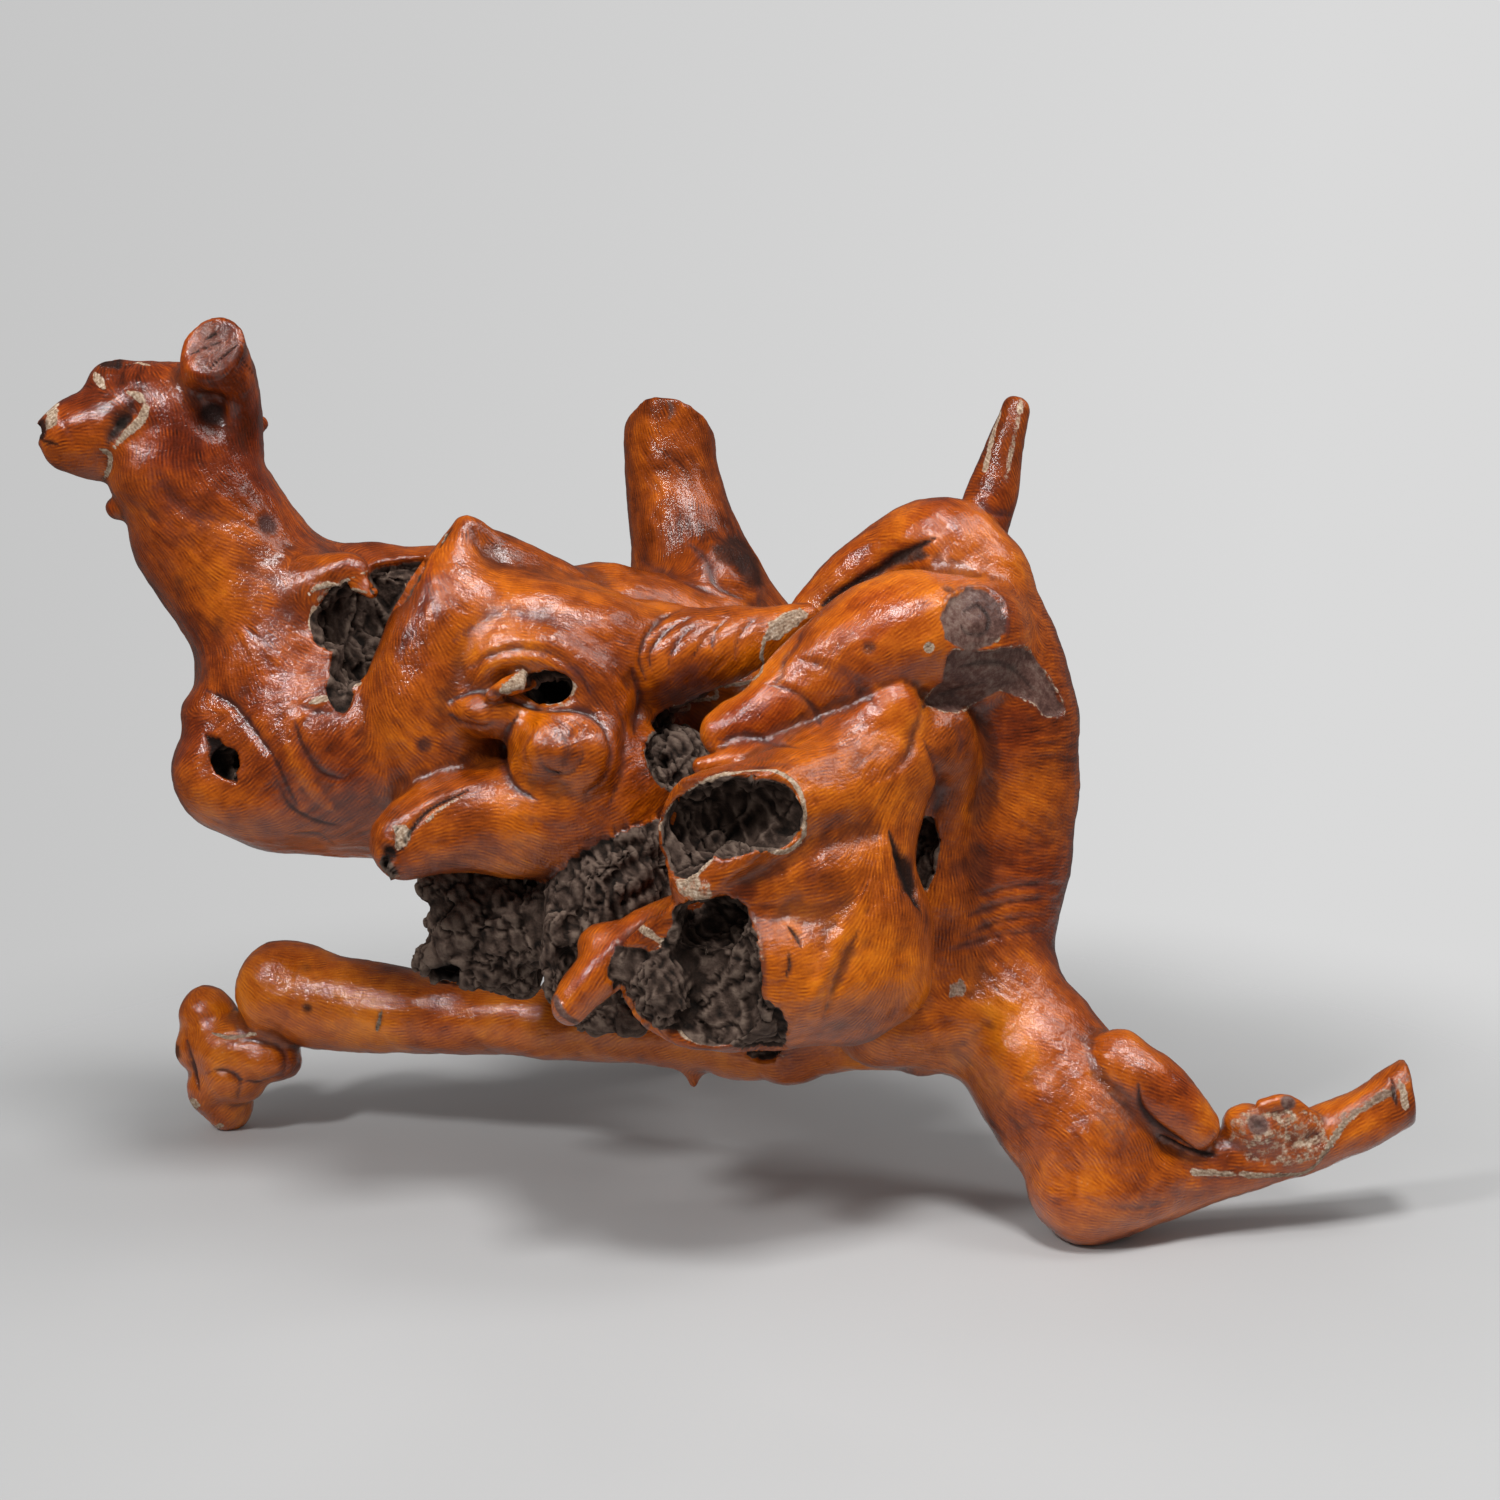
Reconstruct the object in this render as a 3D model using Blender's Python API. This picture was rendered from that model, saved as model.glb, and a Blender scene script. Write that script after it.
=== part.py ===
"""A dry root: one gnarled piece of polished burl wood that stands on its heel, its paw and its rear leg.

The root grew as one body, so its limbs, knobs, folds and hollows are put together as a field of distances,
which melts each into the next. The field is skinned once with OpenVDB, the library behind Blender's Remesh.
Sizes and places are in millimetres, with +X to the right of the front view, +Y away from it and +Z up.
"""

import functools
import math

import bmesh
import bpy
import numpy as np
import openvdb

MM = 0.001
NAME = "dry_root"
MIDDLE = (-7.4, 41.1, 0.0)  # what lies over the middle of the root's box, on the floor

CELL = 3.0  # the side of a cell of the skinned volume
BLOCK = 8  # cells along the side of a block, which is the least that is worked out at once
FAR = 60.0  # the distance given to whatever lies well away from the skin
TRIANGLES = 11400
FLOOR = 0.0  # the height at which the three feet are worn flat

WOOD_COLOUR = (0.50, 0.13, 0.025, 1.0)
WOOD_ROUGHNESS = 0.28


def smooth_min(a, b, melt):
    """The nearer of two distances, melted together where they differ by less than melt."""
    share = np.clip(0.5 + 0.5 * (b - a) / melt, 0.0, 1.0)
    return b + (a - b) * share - melt * share * (1.0 - share)


@functools.cache
def waves(length, seed, count=4):
    draw = np.random.default_rng(seed)
    ways = draw.normal(size=(3, count))
    ways *= draw.uniform(0.7, 1.4, count) * 2 * math.pi / length / np.linalg.norm(ways, axis=0)
    return ways.astype(np.float32), draw.uniform(0, 6, count).astype(np.float32)


def ripple(at, length, seed):
    """Smooth noise from about -1 to 1 whose waves are about length long."""
    ways, phases = waves(length, seed)
    return np.sin(at @ ways + phases).sum(axis=1) / (len(phases) * 0.6)


def crags(at):
    """The broken surface of dry, rotted wood: blocks and cracks, from 0 down to about -1."""
    return -np.abs(ripple(at, 22.0, 5)) * 0.65 - np.abs(ripple(at, 9.0, 6)) * 0.35


def grown(at):
    """The same places pushed about a little, so that no limb is a perfect tube."""
    sway = [1.0 * ripple(at, 80.0, seed) + 0.6 * ripple(at, 30.0, seed + 3) for seed in (11, 12, 13)]
    return at + np.stack(sway, axis=1)


class Limb:
    """A tapering limb along a smooth route of (x, y, z, radius), sawn off where cut gives (point, way out).

    With flat under 1 a step along Y counts for only that much, so a stroke reaches a skin in front or behind.
    """

    STEPS = 4

    def __init__(self, *route, cut=None, flat=1.0):
        points = self.smoothed(np.array(route, float))
        ends = points[:, :3]
        self.flat = np.array((1.0, flat, 1.0), np.float32)
        self.starts = (ends[:-1] * self.flat).astype(np.float32)
        self.runs = (np.diff(ends, axis=0) * self.flat).astype(np.float32)
        self.lengths = np.sum(self.runs**2, axis=1)
        self.radii = points[:-1, 3].astype(np.float32)
        self.tapers = np.diff(points[:, 3]).astype(np.float32)
        slopes = np.clip(self.tapers / np.sqrt(self.lengths), -0.9, 0.9)
        self.leans = slopes / np.sqrt((1.0 - slopes**2) * self.lengths)
        self.cut = cut
        self.centre = (ends.max(0) + ends.min(0)) / 2
        self.reach = np.max(np.linalg.norm(ends - self.centre, axis=1) + points[:, 3]) / flat

    @classmethod
    def smoothed(cls, route):
        """More points on a curve that passes through the route's own."""
        if len(route) < 3:
            return route
        padded = np.vstack([2 * route[0] - route[1], route, 2 * route[-1] - route[-2]])
        made = []
        for before, start, end, after in zip(padded, padded[1:], padded[2:], padded[3:]):
            for t in np.arange(cls.STEPS) / cls.STEPS:
                lean = (end - before) * t + (2 * before - 5 * start + 4 * end - after) * t**2
                made.append(start + 0.5 * (lean + (3 * start - before - 3 * end + after) * t**3))
        return np.array([*made, route[-1]])

    def distance(self, at):
        away = (at * self.flat)[:, None, :] - self.starts
        along = np.einsum("nsk,sk->ns", away, self.runs) / self.lengths
        square = np.einsum("nsk,nsk->ns", away, away)
        aside = np.sqrt(np.maximum(square - along**2 * self.lengths, 0.0))
        along = np.clip(along + self.leans * aside, 0.0, 1.0)
        away = away - along[:, :, None] * self.runs
        nearest = np.sqrt(np.einsum("nsk,nsk->ns", away, away)) - self.radii - along * self.tapers
        nearest = nearest.min(axis=1)
        if self.cut:
            point, way = (np.array(v, float) for v in self.cut)
            nearest = -smooth_min(-nearest, -(at - point) @ (way / np.linalg.norm(way)), 2.0)
        return nearest


class Lump:
    """An egg-shaped knob with three half-widths, turned by degrees about X, Y and Z."""

    def __init__(self, centre, sizes, turn=(0, 0, 0)):
        self.centre = np.array(centre, float)
        self.sizes = np.array(sizes, float)
        self.turn = np.eye(3)
        for axis, degrees in enumerate(turn):
            c, s = math.cos(math.radians(degrees)), math.sin(math.radians(degrees))
            i, j = [k for k in range(3) if k != axis]
            step = np.eye(3)
            step[i, i], step[j, j], step[i, j], step[j, i] = c, c, -s, s
            self.turn = step @ self.turn
        self.reach = self.sizes.max()

    def distance(self, at):
        local = (at - self.centre) @ self.turn
        scaled = np.linalg.norm(local / self.sizes, axis=1)
        steep = np.linalg.norm(local / self.sizes**2, axis=1)
        return scaled * (scaled - 1.0) / np.maximum(steep, 1e-6)


class Step:
    """One stage of the root's growth or wear, which changes the field near its shape."""

    def __init__(self, kind, shape, melt=6.0, rough=0.0, depth=0.0):
        self.kind, self.shape, self.melt, self.rough, self.depth = kind, shape, melt, rough, depth
        self.span = shape.reach + melt + 3 * abs(rough) + 12.0

    def apply(self, field, at):
        off = self.shape.distance(at)
        if self.rough:
            off = off + self.rough * crags(at)
        if self.kind == "grow":
            return smooth_min(field, off, self.melt)
        if self.kind == "hollow":
            return -smooth_min(-field, off, self.melt)
        return field + self.depth * np.exp(-np.square(np.maximum(off, 0.0) / self.melt))


def grow(shape, melt=6.0, rough=0.0):
    return Step("grow", shape, melt=melt, rough=rough)


def hollow(shape, melt=1.5, rough=0.0):
    return Step("hollow", shape, melt=melt, rough=rough)


def press(shape, depth, width):
    """A groove (depth above 0) or a ridge (below 0) along a shape that lies in the skin."""
    return Step("press", shape, melt=width, depth=depth)


def head():
    return [
        grow(Limb((-177, 10, 222, 42), (-202, 14, 250, 40), (-222, 14, 275, 36), (-236, 12, 300, 34),
                  (-241, 8, 322, 29), (-241, 6, 340, 26)), 10),
        grow(Lump((-247, 6, 338), (30, 26, 27)), 8),
        grow(Lump((-253, 0, 319), (21, 24, 19)), 8),
        grow(Lump((-258, 2, 349), (23, 20, 17.5)), 8),
        grow(Limb((-248, 4, 338, 22), (-266, -2, 338, 19), (-278, -4, 337, 17), (-286, -6, 336, 14)), 7),
        grow(Limb((-286, -6, 336, 12), (-296, -8, 337, 4.5)), 6),
        grow(Limb((-280, -4, 329, 12), (-291, -7, 327, 6.5)), 5),
        grow(Limb((-228, 12, 334, 17), (-225, 2, 350, 16.5), (-223, -16, 366, 14.2), (-221, -32, 375, 13),
                  cut=((-221, -26, 373), (-0.25, -0.93, 0.25))), 5),
        grow(Lump((-271, 0, 358), (10, 9, 10)), 7),
        grow(Lump((-273, 4, 305), (5, 5, 5)), 4),
        grow(Lump((-213, 24, 341), (3, 4, 4)), 3),
        hollow(Lump((-272, -3, 371), (6, 9, 3))),
        hollow(Lump((-305, -8, 335), (8, 14, 3.2), (0, 14, 0)), 1.5, 1.0),
        hollow(Limb((-256, -24, 349, 4), (-262, -24, 342, 4.8), (-268, -23, 334, 3.4)), 1.5, 0.6),
        press(Limb((-225, -14, 350, 3), (-225, -14, 343, 3)), 4.0, 5.0),
    ]


def left_body():
    return [
        grow(Limb((-160, 6, 206, 50), (-186, 2, 203, 47), (-206, -6, 197, 38), (-219, -14, 194, 29)), 8),
        grow(Limb((-200, 4, 178, 23), (-170, 8, 177, 24), (-130, 10, 174, 24)), 10),
        grow(Limb((-204, 4, 228, 37), (-190, 10, 250, 28), (-164, 26, 268, 18)), 8),
        grow(Limb((-186, -10, 272, 14), (-170, -18, 279, 8), (-162, -22, 275, 3)), 5),
        grow(Limb((-188, 26, 272, 16), (-164, 28, 274, 13.5), (-142, 26, 275, 12.5), (-118, 16, 275, 13)), 6),
        grow(Lump((-230, -14, 219), (13, 14, 11)), 8),
        press(Lump((-218, -44, 201), (4, 8, 8)), 4.0, 9.0),
        hollow(Limb((-221, -46, 210, 4.5), (-218, -46, 203, 6), (-212, -44, 194, 3.5)), 3.0),
        hollow(Limb((-218, -46, 203, 5.5), (-210, -22, 199, 5.5)), 2.0),
    ]


def crotch_hollow():
    """The deep hollow between the neck and the ear, under a strip of wood that still bridges them."""
    return [
        hollow(Limb((-182, -34, 266, 5), (-172, -30, 259, 13), (-152, -22, 265, 15), (-139, -16, 274, 9),
                    (-133, -16, 283, 4)), 1.5, 1.5),
        hollow(Limb((-152, -24, 262, 14), (-160, -28, 246, 13), (-169, -34, 236, 6),
                    (-171, -42, 226, 3)), 1.5, 1.5),
        hollow(Limb((-176, -8, 256, 12), (-154, -2, 258, 17), (-136, 4, 262, 12)), 1.5, 2.0),
        hollow(Limb((-152, -6, 256, 15), (-160, -12, 240, 13)), 1.5, 2.0),
        grow(Limb((-164, -22, 275, 4), (-158, -25, 270, 2.5)), 2),
    ]


def ear_ridge():
    return [
        grow(Limb((-120, -14, 296, 5.5), (-124, -20, 283, 10.5), (-129, -25, 264, 17), (-135, -28, 244, 21),
                  (-139, -28, 222, 24), (-134, -18, 200, 30)), 6),
        grow(Limb((-114, -12, 294, 5), (-103, -4, 281, 12), (-84, 10, 260, 21)), 8),
        grow(Limb((-114, -20, 257, 23), (-90, -24, 251, 25), (-66, -18, 244, 27)), 14),
    ]


def face():
    return [
        grow(Limb((-104, 30, 256, 20), (-60, 46, 250, 28), (-22, 64, 240, 29)), 12),
        grow(Limb((-84, -3, 232, 38), (-70, -4, 198, 38)), 12),
        grow(Limb((-60, -26, 186, 33), (-88, -36, 178, 27), (-112, -44, 176, 22), (-132, -52, 174, 18),
                  (-141, -57, 170, 15)), 8),
        grow(Limb((-117, -40, 235, 7), (-101, -43, 246, 10), (-82, -45, 246, 11), (-67, -43, 237, 10),
                  (-58, -40, 226, 9)), 9),
        grow(Lump((-76, -49, 208), (23, 15, 20)), 11),
        grow(Lump((-83, -59, 210), (10, 8, 10)), 6),
        grow(Lump((-68, -57, 206), (12, 10, 12)), 6),
        grow(Lump((-109, -46, 222), (14, 11, 10)), 11),
        grow(Limb((-55, -2, 238, 30), (-22, -8, 243, 21), (2, -6, 249, 14), (24, -2, 259, 6)), 9),
        hollow(Limb((-103, -62, 234, 2), (-94, -60, 236, 4), (-86, -58, 235, 6), (-78, -57, 234, 6.5),
                    (-70, -60, 230, 3)), 2.0),
        hollow(Lump((-82, -46, 234), (9, 20, 6))),
        grow(Limb((-106, -57, 231, 3), (-97, -56, 235, 4), (-91, -52, 236, 3)), 3),
        hollow(Lump((-146, -68, 163), (4, 6, 4))),
    ]


def back_limb():
    return [
        grow(Limb((-22, 92, 236, 33), (-28, 98, 270, 29), (-34, 108, 303, 24), (-38, 112, 326, 22),
                  (-39, 114, 362, 19), cut=((-38, 93, 356), (0.05, 0.62, 0.78))), 14),
        grow(Limb((-30, 100, 290, 18), (-10, 100, 262, 19), (6, 92, 240, 20)), 10),
        grow(Lump((-15, 72, 270), (18, 16, 18)), 12),
        press(Lump((-3, 62, 281), (3, 4, 4)), 3.0, 4.0),
    ]


def right_lobes():
    return [
        grow(Limb((20, 22, 250, 9), (40, 22, 268, 13), (62, 18, 284, 17), (82, 10, 289, 21),
                  (95, 8, 276, 24)), 6),
        grow(Limb((92, -18, 250, 28), (62, -34, 253, 27), (41, -42, 245, 23.5), (21, -46, 231, 19),
                  (6, -50, 220, 14.5), (-11, -52, 213, 9.5)), 6),
        grow(Limb((58, -54, 224, 13), (30, -60, 211, 11), (6, -62, 206, 7), (-20, -66, 202, 4)), 5),
    ]


def trunk():
    return [
        grow(Limb((95, 8, 267, 26), (103, 4, 244, 30.5), (110, 3, 215, 33), (111, 2, 182, 32),
                  (109, 0, 150, 31),
                  (105, -3, 120, 30), (102, -6, 98, 30)), 8),
        grow(Limb((100, 34, 286, 13), (110, 38, 318, 10), (119, 42, 347, 6.5)), 5),
    ]


def leg_and_toe():
    return [
        grow(Limb((103, -9, 98, 29), (124, -27, 68, 33), (143, -44, 43, 33), (147, -53, 27, 27)), 10),
        grow(Limb((141, -57, 21.5, 22.7), (164, -56, 25, 18)), 7),
        grow(Limb((156, -52, 76, 13), (171, -58, 64, 14), (186, -60, 50, 10)), 4),
        grow(Limb((162, -53, 24, 19), (197, -50, 28, 15), (226, -46, 35, 14), (252, -42, 44, 13),
                  (286, -35, 60, 13),
                  (302, -31, 69, 13), cut=((283, -35, 58), (0.9, -0.1, 0.15))), 6),
        grow(Lump((213, -53, 46), (14, 10, 10), (0, -20, 0)), 5),
        grow(Lump((229, -50, 50), (11, 9, 7), (0, -20, 0)), 4),
        grow(Limb((216, -56, 57, 3), (226, -54, 58, 3.5), (237, -52, 52, 2.5)), 2),
    ]


def arm_and_paw():
    return [
        grow(Limb((96, -14, 90, 26), (50, -10, 78, 19), (5, 12, 66, 17), (-41, 28, 66, 16.5),
                  (-89, 44, 64, 16.5),
                  (-148, 64, 64, 19.5), (-196, 78, 65, 22.5), (-225, 86, 71, 24)), 8),
        grow(Limb((-266, 92, 56, 14), (-262, 92, 40, 17)), 6),
        grow(Limb((-236, 84, 46, 14), (-252, 84, 40, 17)), 6),
        grow(Lump((-271, 88, 40), (11, 12, 11)), 5),
        grow(Lump((-234, 79, 39), (16, 14, 12), (0, -20, 0)), 5),
        grow(Lump((-250, 79, 28), (15, 13, 12)), 5),
        grow(Lump((-264, 84, 20), (10, 12, 13)), 5),
        grow(Lump((-256, 88, 13), (12, 12, 14)), 4),
        grow(Limb((-27, 22, 56, 7), (-27, 22, 42, 1.5)), 6),
        grow(Lump((20, 2, 60), (12, 12, 11)), 6),
    ]


def torn_middle():
    """The rotted heart of the root, and the deep gap that it left between the face and the right lobes."""
    return [
        grow(Limb((-58, 46, 214, 38), (0, 52, 204, 40), (58, 38, 214, 36), (98, 14, 224, 32)), 14),
        hollow(Limb((-34, -38, 200, 13), (-21, -36, 211, 11), (-2, -34, 226, 8), (15, -28, 245, 6),
                    (26, -22, 256, 4)), 1.5, 1.5),
        hollow(Limb((-34, -16, 204, 15), (-12, -8, 214, 17), (10, -8, 232, 11)), 2.0, 2.0),
        grow(Limb((-64, -44, 130, 21), (-55, -38, 156, 25), (-42, -22, 180, 19),
                  (-30, -16, 196, 14)), 4, 4.0),
        grow(Limb((-63, -46, 98, 8), (-55, -48, 104, 10), (-36, -62, 112, 13)), 4, 3.0),
        grow(Limb((-128, -22, 128, 12), (-108, -22, 126, 20), (-88, -26, 131, 19),
                  (-70, -30, 134, 20)), 4, 3.0),
        grow(Limb((-135, -26, 146, 6), (-123, -24, 142, 10), (-108, -22, 140, 14)), 4, 2.0),
        grow(Limb((-137, -26, 113, 7), (-120, -24, 112, 10), (-100, -24, 107, 10)), 4, 2.0),
        hollow(Lump((-130, -36, 108), (9, 12, 4), (0, 10, 0)), 1.0, 1.0),
        grow(Limb((-80, -62, 138, 5), (-82, -62, 126, 5), (-78, -62, 108, 6), (-66, -62, 98, 6),
                  (-48, -66, 97, 5)), 3, 1.5),
    ]


def stump():
    """The broken stump in front, a thick shell round two rotted hollows."""
    return [
        grow(Limb((80, -36, 212, 14), (62, -46, 206, 19), (46, -54, 196, 25), (43, -60, 172, 26),
                  (40, -70, 148, 29),
                  (38, -74, 122, 30)), 8),
        grow(Limb((48, -54, 194, 24), (22, -74, 191, 23), (0, -92, 188, 21), (-14, -106, 186, 21),
                  (-30, -120, 184, 20),
                  cut=((-8, -112, 188), (-0.35, -0.93, 0.05))), 8),
        grow(Limb((44, -66, 132, 32), (18, -82, 124, 32), (-4, -94, 124, 30), (-22, -106, 126, 28),
                  (-34, -120, 126, 25),
                  cut=((-6, -116, 124), (-0.3, -0.95, 0.0))), 10),
        grow(Limb((22, -80, 161, 24), (-4, -92, 159, 17), (-20, -103, 163, 11)), 8),
        grow(Limb((40, -74, 122, 24), (56, -78, 121, 17)), 8),
        grow(Limb((54, -34, 88, 20), (88, -16, 88, 26)), 8),
        grow(Limb((74, -22, 200, 24), (74, -18, 165, 22), (76, -18, 130, 24), (78, -18, 100, 24)), 8),
        grow(Limb((74, -22, 70, 9), (71, -26, 90, 8), (72, -24, 108, 6)), 4),
        hollow(Limb((-21, -118, 185, 12), (-8, -114, 193, 11), (8, -108, 190, 12)), 1.5, 1.0),
        hollow(Lump((-8, -106, 188), (24, 13, 12)), 1.5, 2.5),
        hollow(Lump((-19, -116, 128), (22, 12, 28), (0, -6, 0)), 1.5, 1.5),
        hollow(Lump((-14, -104, 149), (14, 20, 9), (0, 10, 0)), 1.5, 2.0),
        grow(Lump((-33, -106, 121), (12, 9, 14)), 2, 2.5),
        hollow(Limb((70, -42, 172, 7), (66, -48, 156, 7), (64, -52, 143, 4)), 2.0, 1.0),
        hollow(Limb((72, -34, 168, 8), (68, -38, 152, 7)), 2.0, 1.0),
    ]


def prong():
    return [
        grow(Limb((-26, -68, 138, 13), (-48, -82, 132, 10), (-63, -90, 120, 8.5), (-70, -93, 112, 6)), 4),
        grow(Lump((-64, -84, 137), (6, 6, 5), (0, 30, 0)), 3),
    ]


def rear_leg():
    return [
        grow(Limb((-53, 84, 186, 34), (-38, 122, 134, 29), (-22, 162, 76, 20), (-15, 184, 34, 11),
                  (-13, 193, 6, 9)), 14),
        grow(Lump((-10, 104, 200), (84, 48, 48), (0, -6, 0)), 16),
        grow(Lump((-34, 122, 244), (30, 28, 36)), 12),
        grow(Lump((28, 136, 182), (26, 20, 24)), 8),
        grow(Lump((-72, 132, 172), (18, 20, 17)), 7),
    ]


def growth():
    """Every stage in order: what comes later covers, or cuts into, what came before."""
    parts = (left_body, head, crotch_hollow, ear_ridge, face, back_limb, right_lobes, trunk, leg_and_toe,
             arm_and_paw, rear_leg, torn_middle, stump, prong)
    return [step for part in parts for step in part()]


def field_at(at, steps):
    at = grown(at)
    field = np.full(len(at), FAR, np.float32)
    for step in steps:
        field = step.apply(field, at)
    return field


def volume(steps, cell):
    """The field on a grid of cells, as (array, lowest corner), in full only in the blocks near the skin."""
    shapes = [s.shape for s in steps if s.kind == "grow"]
    low = np.min([s.centre - s.reach for s in shapes], axis=0) - 4 * cell
    high = np.max([s.centre + s.reach for s in shapes], axis=0) + 4 * cell
    blocks = np.ceil((high - low) / (cell * BLOCK)).astype(int)
    centres = np.array([s.shape.centre for s in steps])
    spans = np.array([s.span for s in steps])
    filled = np.full(blocks * BLOCK, FAR, np.float32)
    inside = np.indices((BLOCK,) * 3).reshape(3, -1).T * cell
    reach = cell * BLOCK * math.sqrt(3) / 2
    for corner in np.ndindex(*blocks):
        start = low + np.array(corner) * BLOCK * cell
        centre = start + (BLOCK - 1) * cell / 2
        within = np.linalg.norm(centres - centre, axis=1) < spans + reach
        close = [s for s, use in zip(steps, within) if use]
        if not any(s.kind == "grow" for s in close):
            continue
        here = tuple(slice(c * BLOCK, (c + 1) * BLOCK) for c in corner)
        middle = field_at(centre[None, :], close)[0]
        if abs(middle) > 1.25 * reach + 6.0:
            filled[here] = math.copysign(FAR, middle)
            continue
        filled[here] = field_at((start + inside).astype(np.float32), close).reshape((BLOCK,) * 3)
    return filled, low


def skinned(filled, low, cell):
    """(points, faces) of the skin round the volume."""
    grid = openvdb.FloatGrid(FAR)
    grid.copyFromArray(filled)
    points, _, faces = grid.convertToPolygons(0.0, 0.0)
    return low + points * cell, faces


def keep_largest(mesh):
    """Drops every loose scrap of the skin but the largest."""
    shape = bmesh.new()
    shape.from_mesh(mesh)
    unseen = set(shape.verts)
    bodies = []
    while unseen:
        body = {unseen.pop()}
        edge = list(body)
        while edge:
            vert = edge.pop()
            for link in vert.link_edges:
                other = link.other_vert(vert)
                if other in unseen:
                    unseen.remove(other)
                    body.add(other)
                    edge.append(other)
        bodies.append(body)
    largest = max(bodies, key=len)
    scraps = [vert for body in bodies if body is not largest for vert in body]
    bmesh.ops.delete(shape, geom=scraps, context="VERTS")
    shape.to_mesh(mesh)
    shape.free()


def wood():
    material = bpy.data.materials.new("polished_wood")
    material.use_nodes = True
    surface = material.node_tree.nodes["Principled BSDF"]
    surface.inputs["Base Color"].default_value = WOOD_COLOUR
    surface.inputs["Roughness"].default_value = WOOD_ROUGHNESS
    surface.inputs["Metallic"].default_value = 0.0
    return material


def root_mesh(cell=CELL):
    filled, low = volume(growth(), cell)
    points, faces = skinned(filled, low, cell)
    mesh = bpy.data.meshes.new(NAME)
    mesh.from_pydata((points - MIDDLE) * MM, [], faces.tolist())
    keep_largest(mesh)
    return mesh


def floor_cutter():
    """A block under the floor, which wears the feet flat."""
    size = 1.0
    bpy.ops.mesh.primitive_cube_add(size=size, location=(0, 0, FLOOR * MM - size / 2))
    cutter = bpy.context.object
    cutter.name = "floor_cutter"
    cutter.hide_render = True
    cutter.display_type = "WIRE"
    cutters = bpy.data.collections.new("cutters")
    bpy.context.scene.collection.children.link(cutters)
    for collection in list(cutter.users_collection):
        collection.objects.unlink(cutter)
    cutters.objects.link(cutter)
    return cutter


def main():
    for obj in list(bpy.data.objects):
        bpy.data.objects.remove(obj)
    mesh = root_mesh()
    mesh.materials.append(wood())
    mesh.shade_smooth()
    root = bpy.data.objects.new(NAME, mesh)
    collection = bpy.data.collections.new(NAME)
    bpy.context.scene.collection.children.link(collection)
    collection.objects.link(root)
    faces = root.modifiers.new("fewer_faces", "DECIMATE")
    faces.ratio = min(1.0, TRIANGLES / (2 * len(mesh.polygons)))
    worn = root.modifiers.new("worn_feet", "BOOLEAN")
    worn.operation = "DIFFERENCE"
    worn.object = floor_cutter()


main()
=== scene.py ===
"""The look of the dry root: its skin in full detail, its polish, its rot, the floor, light and camera.

The root is one grown piece, so one finer mesh replaces its CAD node. It is skinned from the same field of
distances as the source, with the same routes and sizes, and then worn, cracked and coloured point by point.
Routes and sizes are in millimetres with +X to the right, +Y away and +Z up; the mesh is in metres.
"""

import functools
import math

import bmesh
import bpy
import numpy as np
import openvdb
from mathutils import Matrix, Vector
from mathutils.bvhtree import BVHTree


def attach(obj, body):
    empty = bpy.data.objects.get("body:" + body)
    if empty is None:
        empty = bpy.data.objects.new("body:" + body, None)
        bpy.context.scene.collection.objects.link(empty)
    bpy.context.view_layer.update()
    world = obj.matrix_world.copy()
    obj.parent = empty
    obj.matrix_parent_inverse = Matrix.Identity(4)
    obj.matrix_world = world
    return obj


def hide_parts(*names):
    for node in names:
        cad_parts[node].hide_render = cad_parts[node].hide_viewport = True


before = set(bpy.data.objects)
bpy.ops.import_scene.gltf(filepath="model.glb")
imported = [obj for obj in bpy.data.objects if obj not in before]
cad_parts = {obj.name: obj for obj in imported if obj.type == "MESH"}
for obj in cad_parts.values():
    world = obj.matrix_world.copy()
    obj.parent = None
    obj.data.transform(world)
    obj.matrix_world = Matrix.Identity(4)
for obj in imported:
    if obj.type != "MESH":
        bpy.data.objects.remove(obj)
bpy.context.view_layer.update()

MM = 0.001
MIDDLE = (-7.4, 41.1, 0.0)  # what lies over the middle of the root's box, on the floor
CELL = 2.4  # the side of a cell of the skinned volume
BLOCK = 8  # cells along the side of a block, which is the least that is worked out at once
PATCH = 24.0  # the side of the blocks in which the skin's points are worked out
FAR = 60.0  # the distance given to whatever lies well away from the skin
BANDS = 5  # the pieces that the polished skin is parted into, from left to right

PICTURE = 1500  # the side of the photograph in pixels
SENSOR = 36  # of the camera, in millimetres
LENS = SENSOR * 2083 / PICTURE
FOCAL = LENS / SENSOR * PICTURE  # the same in pixels of the photograph
EYE = (0.0, -900.0, 330.0)
DOWN = 8.2  # degrees that the camera looks down

ROOM_LIGHT = 0.5  # how bright the pale room is as a light, against how bright the camera sees it
ROOM_SHINE = 0.25  # how much of that shows in the polish

PAINTS = ("dark", "pale", "purple", "grey", "gold", "red", "rot")  # what a mark can be painted with

# The relief of the skin, in millimetres.
SWELLS = ((12.0, 0.7, 21), (5.0, 0.4, 22), (2.6, 0.22, 23))  # its soft unevenness: size, height, seed
FUR_HEIGHT = 0.045  # of the fine fibres
ROT_BLOCK = 13.0  # the size of the blocks that rotted wood breaks into
ROT_WARP = 12.0  # how far their outlines wander
ROT_CRACK = 2.0  # the depth of the cracks between them
ROT_STEP = 3.6  # how much one block stands above another
ROT_SWELL = 8.0  # the height of the waves that they lie on
ROT_GRAIN = 1.1  # the height of their crumbs
CREASE_GAIN, DIP_GAIN = 1.3, 0.5  # how strongly narrow and wide hollows darken the skin as painted shade
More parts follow.
